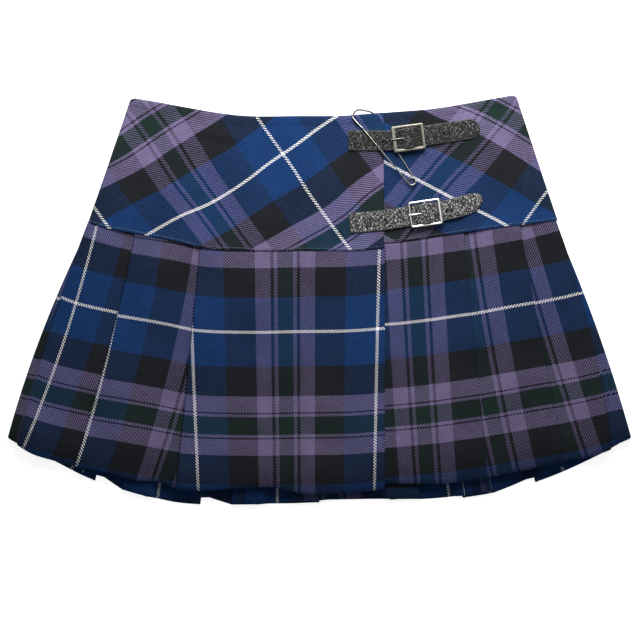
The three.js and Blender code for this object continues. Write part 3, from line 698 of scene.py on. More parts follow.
def yokePiece(name, chain, seam, cutName, lean, drop=0, overlapSeam=True):
    cut = bias[cutName]
    x, z, _, _ = chain.grids()
    headY = along(waist, x[:, 0])[:, None] - drop
    if cutName != "under":
        headY = headY - cornerDrop(x[:, :1] - x[:, 0].min())
    if cutName != "over":
        headY = headY - cornerDrop(x[:, 0].max() - x[:, :1])
    footY = along(seam, x[:, -1])[:, None] + cloth["seamGap"] / 2
    if overlapSeam:
        footY = footY - cloth["seamGap"] - yokeEdge["reach"]
    y = mix(headY, footY, chain.v[None, :])
    nx, nz = mitres(x, z, chain.upright)
    if overlapSeam:
        z = z + yokeRelief(x, y, y - footY, headY - y)
    slidX, slidY = slidTo(slides[cutName], x, y)
    (warpX, warpY), (weftX, weftY) = cut["warpPoint"], cut["weftPoint"]
    u = (slidX - warpX) * cut["warp"][0] + (slidY - warpY) * cut["warp"][1]
    v = (slidX - weftX) * cut["weft"][0] + (slidY - weftY) * cut["weft"][1]
    return sheetMesh(name, x, y, z, nx, nz, u + halfWarp, v, lean)


# From one end to the other, where an end is an x or a side that the cloth turns round to the other layer
def yokeChain(leftEnd, rightEnd, height, other=backYokeZ):
    chain = Chain(cloth["yokeRows"])

    def turned(line, side):
        edge = lineAt(line, chain.v)
        return chain.sideTurn(edge, side, height(edge, chain.v), other(edge, chain.v), plainPanel)

    if isinstance(leftEnd, tuple):
        chain.addAll(turned(leftEnd, -1))
    else:
        chain.addOn(leftEnd + 0 * chain.v, height(leftEnd + 0 * chain.v, chain.v), 0, plainPanel)
    closing = turned(rightEnd, 1)[::-1] if isinstance(rightEnd, tuple) else []
    first, last = chain.x[-1], closing[0][0] if closing else rightEnd + 0 * chain.v
    pieces = math.ceil(float(np.abs(last - first).max()) / cloth["step"])
    for i in range(1, pieces + (0 if closing else 1)):
        x = mix(first, last, i / pieces)
        chain.addOn(x, height(x, chain.v), 0, plainPanel)
    chain.addAll(closing)
    return chain


def frontYokeZ(x, v):
    return np.where(x < 0, overYokeZ(x, v), underYokeZ(x, v))


def makeYokes():
    over = yokeChain(sides["overYoke"], overlap["yoke"], overYokeZ)
    under = yokeChain(overlap["underEnd"], sides["underYoke"], underYokeZ)
    back = yokeChain(sides["overYoke"], sides["underYoke"], backYokeZ, frontYokeZ)
    return [
        yokePiece("apronYokeCloth", over, overSeam, "over", -1),
        yokePiece("underYokeCloth", under, underSeam, "under", 1),
        yokePiece("backYokeCloth", back, backSeam, "back", -1, backWaistDrop, False),
    ]


# Sockets of the shader by short names
shaderSockets = {
    "colour": "Base Color", "roughness": "Roughness", "specular": "Specular IOR Level",
    "metallic": "Metallic", "normal": "Normal", "glow": "Emission Color", "glowStrength": "Emission Strength",
}


# Node trees are built with small helpers
class Graph:
    def __init__(self, tree):
        self.tree = tree

    def node(self, kind, inputs=None, **settings):
        made = self.tree.nodes.new(kind)
        for key, value in settings.items():
            setattr(made, key, value)
        for key, value in (inputs or {}).items():
            if isinstance(value, bpy.types.NodeSocket):
                self.tree.links.new(value, made.inputs[key])
            else:
                made.inputs[key].default_value = value
        return made

    def math(self, operation, *values):
        return self.node("ShaderNodeMath", dict(enumerate(values)), operation=operation).outputs[0]

    def plus(self, a, b):
        return self.math("ADD", a, b)

    def minus(self, a, b):
        return self.math("SUBTRACT", a, b)

    def times(self, a, b):
        return self.math("MULTIPLY", a, b)

    def divided(self, a, b):
        return self.math("DIVIDE", a, b)

    def vector(self, operation, a, b):
        return self.node("ShaderNodeVectorMath", {0: a, 1: b}, operation=operation).outputs[0]

    def axis(self, vector, index):
        return self.node("ShaderNodeSeparateXYZ", {0: vector}).outputs[index]

    def place(self, kind="Object"):
        return self.node("ShaderNodeTexCoord").outputs[kind]

    def uvMap(self, name):
        return self.node("ShaderNodeUVMap", uv_map=name).outputs[0]

    def noise(self, vector, scale, detail):
        inputs = {"Vector": vector, "Scale": scale, "Detail": detail}
        return self.node("ShaderNodeTexNoise", inputs).outputs[0]

    # One of two values, or a mix of them
    def pick(self, factor, a, b):
        return self.node("ShaderNodeMix", {0: factor, 2: a, 3: b}).outputs[0]

    # A value's range spread over another range
    def spread(self, value, low, high, toLow=0.0, toHigh=1.0, soft=False):
        inputs = {0: value, 1: low, 2: high, 3: toLow, 4: toHigh}
        kind = "SMOOTHSTEP" if soft else "LINEAR"
        return self.node("ShaderNodeMapRange", inputs, interpolation_type=kind).outputs[0]

    def give(self, shader, **values):
        for key, value in values.items():
            socket = shader.inputs[shaderSockets[key]]
            if isinstance(value, bpy.types.NodeSocket):
                self.tree.links.new(value, socket)
            else:
                socket.default_value = value

    def bump(self, height, distance, strength):
        inputs = {"Height": height, "Distance": distance, "Strength": strength}
        return self.node("ShaderNodeBump", inputs).outputs[0]

    def ramp(self, value, stops, interpolation="CONSTANT"):
        made = self.node("ShaderNodeValToRGB", {0: value})
        made.color_ramp.interpolation = interpolation
        elements = made.color_ramp.elements
        while len(elements) > 1:
            elements.remove(elements[-1])
        for k, (position, colour) in enumerate(stops):
            element = elements[0] if k == 0 else elements.new(position)
            element.position = position
            element.color = (*colour, 1)
        return made.outputs[0]

    def blend(self, factor, a, b, mode="MIX"):
        made = self.node("ShaderNodeMix", data_type="RGBA", blend_type=mode)
        for socket, value in ((made.inputs[0], factor), (made.inputs[6], a), (made.inputs[7], b)):
            if isinstance(value, bpy.types.NodeSocket):
                self.tree.links.new(value, socket)
            elif socket.type == "RGBA":
                socket.default_value = (*value, 1)
            else:
                socket.default_value = value
        return made.outputs[2]


def newMaterial(name):
    material = bpy.data.materials.new(name)
    material.use_nodes = True
    tree = material.node_tree
    shader = tree.nodes["Principled BSDF"]
    return material, Graph(tree), shader


# Yarns of the tartan, and its half sett from the green middle to the white line, in pixels of the photograph
yarns = {
    "green": (0.0160, 0.0330, 0.0290),
    "blue": (0.0118, 0.0440, 0.1480),
    "black": (0.0168, 0.0187, 0.0224),
    "purple": (0.192, 0.154, 0.286),
    "white": (0.97, 0.98, 1.0),
}
warpSett = [
    ("green", 7.5), ("purple", 3.5), ("black", 3.0), ("purple", 14.5), ("black", 30), ("blue", 30),
    ("white", 1.75),
]
weftSett = [
    ("green", 8.5), ("purple", 3.2), ("black", 1.8), ("purple", 16), ("black", 29.5), ("blue", 33),
    ("white", 1.8),
]
twill = {
    "thread": 0.68, "repeat": 4.0, "roundShade": 0.36, "whiteRim": 0.6, "brightFrom": 0.5,
    "slubStep": 7.3, "slubScale": 180.0, "weftSeed": 31.0, "slub": (0.25, 0.75), "uneven": (0.72, 1.28),
    "fadeScale": 24.0, "fadeFrom": (0.3, 0.7), "fade": (0.9, 1.12),
    "fuzzScale": 1100.0, "fuzzFrom": 0.64, "fuzzShare": 0.06, "fuzz": (0.10, 0.11, 0.13),
    "bump": 0.0003, "bumpStrength": 0.6, "slubHeight": 0.4, "roughness": 0.95, "specular": 0.06,
}


def settStops(sett):
    total = sum(width for _, width in sett)
    stops, at = [], 0
    for name, width in sett:
        stops.append((at / total, yarns[name]))
        at += width
    return stops


# Painted shade towards the skirt's hem: where it begins and ends in millimetres below the white weft, and how
# dark it gets
paintedFootShade = {"from": 122, "to": 145, "darkest": 0.62}


# Colour of one yarn system by its place, with uneven brightness along each thread
def yarnColour(graph, place, lengthwise, half, fromWhite, sett, seed):
    thread = twill["thread"] * mm
    index = graph.math("FLOOR", graph.divided(place, thread))
    middle = graph.times(graph.plus(index, 0.5), thread)
    part = graph.divided(graph.math("PINGPONG", middle, half * mm), half * mm)
    if fromWhite:
        part = graph.minus(1.0, part)
    colour = graph.ramp(part, settStops(sett))
    across, down = graph.times(index, twill["slubStep"]), graph.times(lengthwise, twill["slubScale"])
    spot = graph.node("ShaderNodeCombineXYZ", {0: across, 1: down, 2: seed}).outputs[0]
    return index, colour, graph.noise(spot, 1.0, 2.0)


# lift brightens the whole, as painted light: the yokes' copy is lighter for the brighter light that falls on
# them.
# warpRim and weftRim say where on a float its rim begins, weftShows how much of the weft's own colour stays
# in the rims
def tartanMaterial(name, lift, warpRim, weftRim, weftShows):
    material, graph, shader = newMaterial(name)
    uv = graph.uvMap("clothUv")
    u, v = graph.axis(uv, 0), graph.axis(uv, 1)
    lean = graph.node("ShaderNodeAttribute", attribute_name="twillLean").outputs[2]
    warpIndex, warpColour, warpSlub = yarnColour(graph, u, v, halfWarp, False, warpSett, 0.0)
    weftIndex, weftColour, weftSlub = yarnColour(graph, v, u, halfWeft, True, weftSett, twill["weftSeed"])
    uThreads, vThreads = (graph.divided(value, twill["thread"] * mm) for value in (u, v))
    # Two over, two under, each row a thread further on
    step = graph.plus(warpIndex, graph.times(weftIndex, lean))
    weftOver = graph.math("GREATER_THAN", graph.math("FLOORED_MODULO", step, twill["repeat"]), 1.5)
    # Place along the float that lies on top, from 0 to 1, and across its thread
    warpRun = graph.plus(warpIndex, graph.times(vThreads, lean))
    warpRun = graph.plus(warpRun, graph.times(graph.minus(1.0, lean), 0.5))
    weftRun = graph.plus(uThreads, graph.times(weftIndex, lean))
    run = graph.math("FRACT", graph.divided(graph.pick(weftOver, warpRun, weftRun), 2.0))
    across = graph.math("FRACT", graph.pick(weftOver, uThreads, vThreads))
    offEnds, offMiddle = (
        graph.times(graph.math("ABSOLUTE", graph.minus(value, 0.5)), 2.0) for value in (run, across)
    )
    rim = graph.math("MAXIMUM", graph.math("POWER", offEnds, 2.0), offMiddle)
    over = graph.blend(weftOver, warpColour, weftColour)
    brightness = graph.node("ShaderNodeRGBToBW", {0: over}).outputs[0]
    bright = graph.math("GREATER_THAN", brightness, twill["brightFrom"])
    rimFrom = graph.pick(bright, graph.pick(weftOver, warpRim, weftRim), twill["whiteRim"])
    rim = graph.spread(rim, rimFrom, 1.0, soft=True)
    # The thicker weft shows more than the warp: round the rim of each float it mixes with the darker of the
    # two yarns, partly the neighbour yarn's own colour and partly painted shade where the float dips under,
    # while each float of the white yarn stands apart
    darker = graph.blend(1.0, warpColour, weftColour, "DARKEN")
    atRim = graph.blend(graph.times(weftShows, graph.minus(1.0, bright)), darker, weftColour)
    colour = graph.blend(rim, over, atRim)
    # Painted shade darkens the sides and ends of each rounded float, and the same profile is the yarns' bump
    # height
    roundTopShade = graph.minus(1.0, graph.times(rim, twill["roundShade"]))
    slub = graph.pick(weftOver, warpSlub, weftSlub)
    uneven = graph.spread(slub, *twill["slub"], *(lift * end for end in twill["uneven"]))
    # Broad, faint fading of worn cloth
    place = graph.place()
    fade = graph.noise(place, twill["fadeScale"], 3.0)
    fading = graph.spread(fade, *twill["fadeFrom"], *twill["fade"])
    # Painted shade: the foot of the skirt is a little darker, as where the hem curls away from the light
    foot = graph.spread(v, paintedFootShade["from"] * mm, paintedFootShade["to"] * mm, 1.0, paintedFootShade["darkest"])
    shade = graph.times(graph.times(uneven, roundTopShade), graph.times(fading, foot))
    shade = graph.node("ShaderNodeCombineColor", {0: shade, 1: shade, 2: shade}).outputs[0]
    shaded = graph.blend(1.0, colour, shade, "MULTIPLY")
    # Brushed fibres stand over the yarns here and there
    fuzz = graph.noise(place, twill["fuzzScale"], 2.0)
    fibre = graph.times(graph.math("GREATER_THAN", fuzz, twill["fuzzFrom"]), twill["fuzzShare"])
    height = graph.plus(roundTopShade, graph.times(slub, twill["slubHeight"]))
    graph.give(
        shader, colour=graph.blend(fibre, shaded, twill["fuzz"]), roughness=twill["roughness"],
        specular=twill["specular"], normal=graph.bump(height, twill["bump"], twill["bumpStrength"]),
    )
    return material


# Straps and buckles, in millimetres
strap = {
    "width": 18.4, "thickness": 1.6, "clearance": 0.3, "holeRadius": 1.4, "rim": 0.45, "dome": 0.18,
    "pathPieces": 24, "step": 1.0, "tipRows": 30, "tipPower": 1.6, "across": 15, "least": 0.02, "pastTab": 3,
}
# Rows of points round the strap's edge: how far out, and how far above its middle
strapRounds = [(0.32, 0.55), (0.45, 0.0), (0.32, -0.55)]
# The cutters that punch it are a little narrower than the solids' holes
punch = {"hole": 0.85, "slot": 0.9, "least": 0.01, "pieces": 12, "height": 30}
slot = {"centre": -5.2, "radius": 1.15, "half": 2.5}
buckle = {
    "length": 30.5, "breadth": 24.4, "corner": 3, "bar": 1.4, "side": 1.15, "centreBar": 0.9, "lift": 5.5,
    "clearance": 0.25,
}
prong = {
    "wire": 0.65, "play": 0.15, "overhang": 2.2, "eyeFrom": -175, "eyeTo": 95, "eyePieces": 20,
    "neck": (-4, 0, 1.8), "swell": 1.35, "swellFrom": 6, "swellOver": 5,
}
tab = {"thickness": 1, "width": 13, "tail": 30, "rest": 0.3}
# How far before, behind and beside a buckle its plane is measured
rest = {"back": 16, "front": 30, "side": 12}
closures = [
    {
        "name": "upper",
        "line": [(27.1, 146.1), (50, 146), (66.7, 146.2), (81.9, 148), (115, 153.2), (147.7, 158.2)],
        "centre": (81.9, 148), "turn": 7.5, "holes": [-24, 32.5], "tip": (9, 9, 0), "stitches": [2.5],
    },
    {
        "name": "lower",
        "line": [(28.1, 69.8), (60, 72.8), (82.8, 76.3), (97.6, 78.5), (113.6, 81), (150.4, 90.5)],
        "centre": (97.6, 78.6), "turn": 8.2, "holes": [-37.7, 19.6], "tip": (11, 18, 3.4),
        "stitches": [2.5, 15],
    },
]


# The plane that a buckle lies on, as the solids have it
class RestPlane:
    def __init__(self, centre, degrees):
        self.x, self.y = centre
        self.angle = math.radians(degrees)
        self.ahead = (math.cos(self.angle), math.sin(self.angle))
        back, front, side = -rest["back"], rest["front"], rest["side"]
        height = lambda s, c: float(underTop(*self.place(s, c)))
        self.rise = (height(front, 0) - height(back, 0)) / (front - back)
        self.lean = (height(0, side) - height(0, -side)) / (2 * side)
        spots = [(s, c) for s in (back, 0, -back, front) for c in (-side, 0, side)]
        self.base = max(height(s, c) - self.rise * s - self.lean * c for s, c in spots)

    def place(self, s, c):
        return self.x + self.ahead[0] * s - self.ahead[1] * c, self.y + self.ahead[1] * s + self.ahead[0] * c

    def heightAt(self, s, c):
        return self.base + self.rise * s + self.lean * c

    def distance(self, x, y):
        return (x - self.x) * self.ahead[0] + (y - self.y) * self.ahead[1]

    # From the buckle's own frame, x along, y across and z up from its centre bar, to the row's frame
    def matrix(self):
        ahead = Vector((*self.ahead, self.rise)).normalized()
        across = Vector((-self.ahead[1], self.ahead[0], self.lean)).normalized()
        up = ahead.cross(across).normalized()
        across = up.cross(ahead)
        origin = Vector((self.x, self.y + outlineShift, self.base)) + up * buckle["lift"]
        turned = Matrix((ahead, across, up)).transposed().to_4x4()
        return Matrix.Scale(mm, 4) @ Matrix.Translation(origin) @ turned


eyeTop = buckle["centreBar"] + prong["play"] + 2 * prong["wire"]
underBar = buckle["lift"] - buckle["bar"] - buckle["clearance"] - strap["thickness"]
overEye = buckle["lift"] + eyeTop + buckle["clearance"]
barAt = buckle["length"] / 2 - buckle["bar"]
strapOverBuckle = [
    (-barAt - buckle["bar"] - 0.6, underBar), (-barAt + buckle["bar"] + 1, underBar), (-2, overEye),
    (2, overEye), (barAt - buckle["bar"] - 1, underBar), (barAt + buckle["bar"] + 0.6, underBar),
]


def catmullPoints(points, count):
    pts = [np.array(p, float) for p in points]
    pts = [2 * pts[0] - pts[1], *pts, 2 * pts[-1] - pts[-2]]
    made = []
    for k in range(1, len(pts) - 2):
        p0, p1, p2, p3 = pts[k - 1 : k + 3]
        p0, p1, p2, p3 = pts[k - 1 : k + 3]
        first, second, third = p2 - p0, 2 * p0 - 5 * p1 + 4 * p2 - p3, 3 * p1 - p0 - 3 * p2 + p3
        for i in range(count):
            t = i / count
            made.append(0.5 * (2 * p1 + first * t + second * t**2 + third * t**3))
    made.append(pts[-2])
    return np.array(made)


def tipShare(left, run):
    return math.sqrt(1 - (1 - left / run) ** 2) if left < run else 1


# Grid of the strap's points: x, y, height of its underside, and its own place along and across
def strapGrid(closure, plane):
    path = catmullPoints(closure["line"], strap["pathPieces"])
    steps = np.linalg.norm(np.diff(path, axis=0), axis=1)
    travelled = np.concatenate([[0], np.cumsum(steps)])
    length = travelled[-1]
    near = strapOverBuckle[-1][0] + 0.01
    tailEnd = tab["tail"] + strap["pastTab"]
    overS, overZ = zip(*strapOverBuckle)

    def onPath(s):
        return np.array([np.interp(s, travelled, path[:, k]) for k in (0, 1)])

    def bottomAt(s, x, y, c):
        if s < -near:
            return float(overTop(x, y)) + strap["clearance"]
        if s <= near:
            return plane.heightAt(s, c) + float(np.interp(s, overS, overZ))
        down = float(underTop(x, y)) + strap["clearance"]
        onTab = plane.heightAt(s, c) + tab["rest"] + tab["thickness"] + 2 * strap["clearance"]
        return max(onTab, down) if s < tailEnd else down

    upperRun, lowerRun, tipAt = closure["tip"]
    tipRun = max(upperRun, lowerRun)
    atTip = length - tipRun * np.linspace(1, 0, strap["tipRows"]) ** strap["tipPower"]
    halfWide = strap["width"] / 2 - strap["rim"]
    rows = []
    for s in np.concatenate([np.arange(0, length - tipRun, strap["step"]), atTip]):
        point = onPath(s)
        ahead, behind = onPath(min(s + 0.5, length)), onPath(max(s - 0.5, 0))
        tangent = (ahead - behind) / np.linalg.norm(ahead - behind)
        left = max(length - s, strap["least"])
        top = tipAt + (halfWide - tipAt) * max(tipShare(left, upperRun), strap["least"])
        low = tipAt - (halfWide + tipAt) * max(tipShare(left, lowerRun), strap["least"])
        row = []
        for i in range(strap["across"] + 1):
            c = mix(low, top, i / strap["across"])
            x, y = point[0] - tangent[1] * c, point[1] + tangent[0] * c
            row.append((x, y, bottomAt(plane.distance(*point), x, y, c), s, c))
        rows.append(row)
    return np.array(rows)


# A slightly domed face, and an edge rounded by three rows of points
def makeStrap(closure, plane):
    grid = strapGrid(closure, plane)
    # Leather bends in easy curves, so heights are averaged along the strap
    heights = grid[:, :, 2].copy()
    for _ in range(3):
        heights[1:-1] = (heights[:-2] + 2 * heights[1:-1] + heights[2:]) / 4
    half = strap["thickness"] / 2
    middle = np.stack([grid[..., 0], grid[..., 1] + outlineShift, heights + half], axis=-1)
    down, wide = heights.shape
    dome = strap["dome"] * (1 - (2 * np.arange(wide) / (wide - 1) - 1) ** 2)
    points = []
    for lift in (half + dome, -half + 0 * dome):
        lifted = middle.copy()
        lifted[..., 2] += lift
        points += [*lifted.reshape(-1, 3)]
    edge = np.ones((down, wide))
    edge[1:-1, 1:-1] = 0
    uvs = [*grid[..., 3:].reshape(-1, 2)] * 2
    edges = [*edge.ravel()] * 2
    ring = ringOf(down, wide)
    rims = []
    for a, b in ring:
        out = outward(grid[..., :2], a, b)
        rims.append([len(points) + m for m in range(len(strapRounds))])
        for reach, height in strapRounds:
            points.append(middle[a, b] + (out[0] * reach, out[1] * reach, height))
            uvs.append(grid[a, b, 3:])
            edges.append(1.0)
    faces = shellFaces(down, wide, ring, rims)
    strapPiece = linkMesh(f"strap{closure['name'].title()}Leather", np.array(points) * mm, faces)
    paintMap(strapPiece.data, "strapUv", np.array(uvs) * mm)
    paintMap(strapPiece.data, "strapEdge", np.stack([edges, edges], axis=-1))
    punchStrap(strapPiece, closure, plane)
    return strapPiece


# Makes a piece's one modifier part of its mesh
def bakeModifier(piece, modifier):
    baked = bpy.data.meshes.new_from_object(piece.evaluated_get(bpy.context.evaluated_depsgraph_get()))
    piece.modifiers.remove(modifier)
    piece.data = baked


# Holes and the prong's slot are punched through with round-ended cutters
def punchStrap(piece, closure, plane):
    cuts = [(s, strap["holeRadius"] * punch["hole"], punch["least"]) for s in closure["holes"]]
    cuts.append((slot["centre"], slot["radius"] * punch["slot"], slot["half"]))
    vertices, faces = [], []
    for s, radius, half in cuts:
        start = len(vertices)
        for end in (1, -1):
            for k in range(punch["pieces"] + 1):
                angle = (k / punch["pieces"] - 0.5) * math.pi + (0 if end > 0 else math.pi)
                x, y = plane.place(s + end * half + radius * math.cos(angle), radius * math.sin(angle))
                vertices += [(x * mm, (y + outlineShift) * mm, z * mm) for z in (0, punch["height"])]
        low = list(range(start, len(vertices), 2))
        for k, i in enumerate(low):
            j = low[(k + 1) % len(low)]
            faces.append((i, j, j + 1, i + 1))
        faces += [[i + 1 for i in low], low[::-1]]
    mesh = bpy.data.meshes.new("punch")
    mesh.from_pydata(vertices, [], faces)
    cutter = placePiece("punch", mesh)
    modifier = piece.modifiers.new("punch", "BOOLEAN")
    modifier.operation = "DIFFERENCE"
    modifier.solver = "MANIFOLD"
    modifier.object = cutter
    bakeModifier(piece, modifier)
    bpy.data.objects.remove(cutter)


leather = {
    "wobbleScale": 260.0, "wobble": (0.0016, 0.0016, 0.0), "turn": (0.0, 0.0, 0.9), "drawn": (1.0, 0.6, 1.0),
    "pebbleScale": 580.0, "crease": (0.03, 0.22), "fineScale": 2400.0, "fine": 0.2, "bump": 0.0009,
    "stops": (0.05, 0.4, 0.85), "warmth": 0.98, "edge": (0.35, 0.9), "edgeHighlightShare": 0.55,
    "edgeHighlightColour": (0.16, 0.165, 0.15), "roughness": (0.65, 0.4),
}


# Pebbles are a little longer than wide, with painted highlights on their tops and painted shade in their
# creases, and each strap gets its own shades as painted light, for the light it catches
def leatherMaterial(name, *shades):
    material, graph, shader = newMaterial(name)
    uv = graph.uvMap("strapUv")
    wobbles = {"Vector": uv, "Scale": leather["wobbleScale"], "Detail": 2.0}
    wobble = graph.node("ShaderNodeTexNoise", wobbles).outputs[1]
    moved = graph.vector("MULTIPLY", wobble, leather["wobble"])
    warped = graph.vector("ADD", uv, moved)
    turned = graph.node("ShaderNodeMapping", {0: warped, 2: leather["turn"], 3: leather["drawn"]}).outputs[0]
    scaled = {"Vector": turned, "Scale": leather["pebbleScale"]}
    cells = graph.node("ShaderNodeTexVoronoi", scaled, feature="DISTANCE_TO_EDGE").outputs[0]
    each = graph.axis(graph.node("ShaderNodeTexVoronoi", scaled).outputs[1], 0)
    pebble = graph.spread(cells, *leather["crease"], soft=True)
    fine = graph.noise(uv, leather["fineScale"], 3.0)
    height = graph.plus(pebble, graph.times(fine, leather["fine"]))
    # Painted highlight on each pebble's top and painted shade in the creases, each pebble a little lighter or
    # darker at random
    pebbleHighlight = graph.times(pebble, graph.spread(each, 0.0, 1.0, 0.5, 1.0))
    stops = [(at, (shade, shade, shade * leather["warmth"])) for at, shade in zip(leather["stops"], shades)]
    tone = graph.ramp(pebbleHighlight, stops, "LINEAR")
    # Painted highlight along the strap's rounded edges
    edge = graph.axis(graph.uvMap("strapEdge"), 0)
    edgeHighlight = graph.spread(edge, *leather["edge"], 0.0, leather["edgeHighlightShare"], soft=True)
    graph.give(
        shader, colour=graph.blend(edgeHighlight, tone, leather["edgeHighlightColour"]),
        roughness=graph.spread(pebble, 0.0, 1.0, *leather["roughness"]),
        normal=graph.bump(height, leather["bump"], 1.0),
    )
    return material


# The buckles' leather tabs hardly show under the straps
def plainLeather():
    material, graph, shader = newMaterial("tabLeather")
    inputs = {"Vector": graph.place(), "Scale": 560.0}
    grain = graph.node("ShaderNodeTexVoronoi", inputs, feature="DISTANCE_TO_EDGE").outputs[0]
    # Painted shade in the grain's grooves, lighter on its tops
    tone = graph.ramp(grain, [(0.0, (0.009, 0.009, 0.008)), (0.4, (0.045, 0.045, 0.040))], "LINEAR")
    graph.give(shader, colour=tone, roughness=0.45, normal=graph.bump(grain, 0.0005, 0.8))
    return material


# Faces round a tube, from the numbers of its rings of points and of the points on each
def tubeFaces(count, sideCount, closed=False):
    at = lambda i, k: (i % count) * sideCount + k % sideCount
    rings = range(count if closed else count - 1)
    return [
        (at(i, k), at(i, k + 1), at(i + 1, k + 1), at(i + 1, k)) for i in rings for k in range(sideCount)
    ]


# Round bars through points, closed at their ends
def barMesh(points, radii, sideCount):
    pts = [Vector(p) for p in points]
    count = len(pts)
    vertices = []
    side = None
    for i, point in enumerate(pts):
        tangent = (pts[min(i + 1, count - 1)] - pts[max(i - 1, 0)]).normalized()
        if side is None:
            side = Vector((0, 0, 1)).cross(tangent)
            side = side if side.length > 0.1 else Vector((1, 0, 0))
        side = (side - tangent * side.dot(tangent)).normalized()
        third = tangent.cross(side)
        for k in range(sideCount):
            angle = k / sideCount * 2 * math.pi
            vertices.append(point + side * radii[i] * math.cos(angle) + third * radii[i] * math.sin(angle))
    ends = [tuple(reversed(range(sideCount))), tuple(range((count - 1) * sideCount, count * sideCount))]
    return vertices, tubeFaces(count, sideCount) + ends


def roundedEnds(points, radius, steps=4):
    pts = [Vector(p) for p in points]
    start = (pts[0] - pts[1]).normalized() * radius
    end = (pts[-1] - pts[-2]).normalized() * radius
    angles = [k / steps * math.pi / 2 for k in range(steps)]
    head = [pts[0] + start * math.cos(angle) for angle in angles]
    tail = [pts[-1] + end * math.cos(angle) for angle in reversed(angles)]
    radii = [radius * max(math.sin(angle), 0.05) for angle in angles]
    return head + pts + tail, radii + [radius] * len(pts) + radii[::-1]


# Each frame's four bars have their own widths: the upper one is a flat casting, the lower one a rounded wire
buckleForms = {
    "upper": {
        "left": 4.3, "right": 3.2, "top": 2.5, "bottom": 2.9, "thick": 1.0, "square": 0.5, "corner": 2.2,
    },
    "lower": {
        "left": 2.3, "right": 3.5, "top": 2.2, "bottom": 2.6, "thick": 1.15, "square": 0.85, "corner": 2.4,
    },
}
windowCorner = 0.9


def squared(value, power):
    return math.copysign(abs(value) ** power, value)


def frameMesh(form, quarterSteps=8, sideCount=20):
    outerX, outerY = buckle["length"] / 2, buckle["breadth"] / 2
    windowX = {1: outerX - form["right"], -1: outerX - form["left"]}
    windowY = {1: outerY - form["top"], -1: outerY - form["bottom"]}
    vertices = []
    for sx, sy, quarter in ((1, 1, 0), (-1, 1, 1), (-1, -1, 2), (1, -1, 3)):
        outerMiddle = Vector((sx * (outerX - form["corner"]), sy * (outerY - form["corner"]), 0))
        innerMiddle = Vector((sx * (windowX[sx] - windowCorner), sy * (windowY[sy] - windowCorner), 0))
        for i in range(quarterSteps + 1):
            angle = (quarter + i / quarterSteps) * math.pi / 2
            turned = Vector((math.cos(angle), math.sin(angle), 0))
            outer = outerMiddle + turned * form["corner"]
            inner = innerMiddle + turned * windowCorner
            for k in range(sideCount):
                spin = k / sideCount * 2 * math.pi
                reach = (outer - inner) / 2 * squared(math.cos(spin), form["square"])
                rise = form["thick"] * squared(math.sin(spin), form["square"])
                vertices.append((outer + inner) / 2 + reach + Vector((0, 0, rise)))
    return vertices, tubeFaces(len(vertices) // sideCount, sideCount, True)


def makeBuckle(closure, plane):
    place = plane.matrix()
    vertices, faces = frameMesh(buckleForms[closure["name"]])
    halfBar = buckle["breadth"] / 2 - buckle["side"] + 0.3
    barPath = [(0, c, 0) for c in (-halfBar, 0, halfBar)]
    barVertices, barFaces = barMesh(barPath, [buckle["centreBar"]] * 3, 16)
    offset = len(vertices)
    faces = faces + [tuple(i + offset for i in face) for face in barFaces]
    placed = [place @ v for v in vertices + barVertices]
    frameObject = linkMesh(f"buckleFrame{closure['name'].title()}", placed, faces)
    ringRadius = buckle["centreBar"] + prong["play"] + prong["wire"]
    path = []
    for i in range(prong["eyePieces"] + 1):
        angle = math.radians(mix(prong["eyeFrom"], prong["eyeTo"], i / prong["eyePieces"]))
        path.append((ringRadius * math.cos(angle), 0, ringRadius * math.sin(angle)))
    restZ = buckle["bar"] + prong["wire"] + buckle["clearance"]
    path += [prong["neck"], (-barAt + 1, 0, restZ), (-barAt - prong["overhang"], 0, restZ - 0.1)]
    smoothPath, widths = roundedEnds(path, prong["wire"])
    # The point is thicker than the shank, where it rests on the frame
    swollen = [smooth((-point[0] - prong["swellFrom"]) / prong["swellOver"]) for point in smoothPath]
    widths = [width * mix(1, prong["swell"], part) for part, width in zip(swollen, widths)]
    prongVertices, prongFaces = barMesh(smoothPath, widths, 16)
    prongObject = linkMesh(f"prong{closure['name'].title()}", [place @ v for v in prongVertices], prongFaces)
    return frameObject, prongObject


# Kilt pin
pin = {
    "wire": 0.6, "wireEnd": 0.8, "sleeve": 1.15, "cap": 1.0, "sleeveLift": 0.9, "joint": 0.1, "footLift": 0.3,
    "coilRadius": 3.5, "coilGap": 0.3, "coilLift": 0.15, "turns": 1.48, "coilPieces": 60, "clearance": 0.35,
}
pinPlan = {
    "sleeveTop": (31.4, 165.8), "sleeveFoot": (40.6, 155.8), "coil": (84.9, 108.4),
    "backMiddle": (73.5, 133.3), "backOut": (60.5, 152.8), "backTip": (50.2, 168.6),
}
pinHead = [(31, 168.6), (32, 171.6), (34, 173.7), (37.5, 174.4), (43.5, 173.5), (48.6, 172), (50.6, 170)]


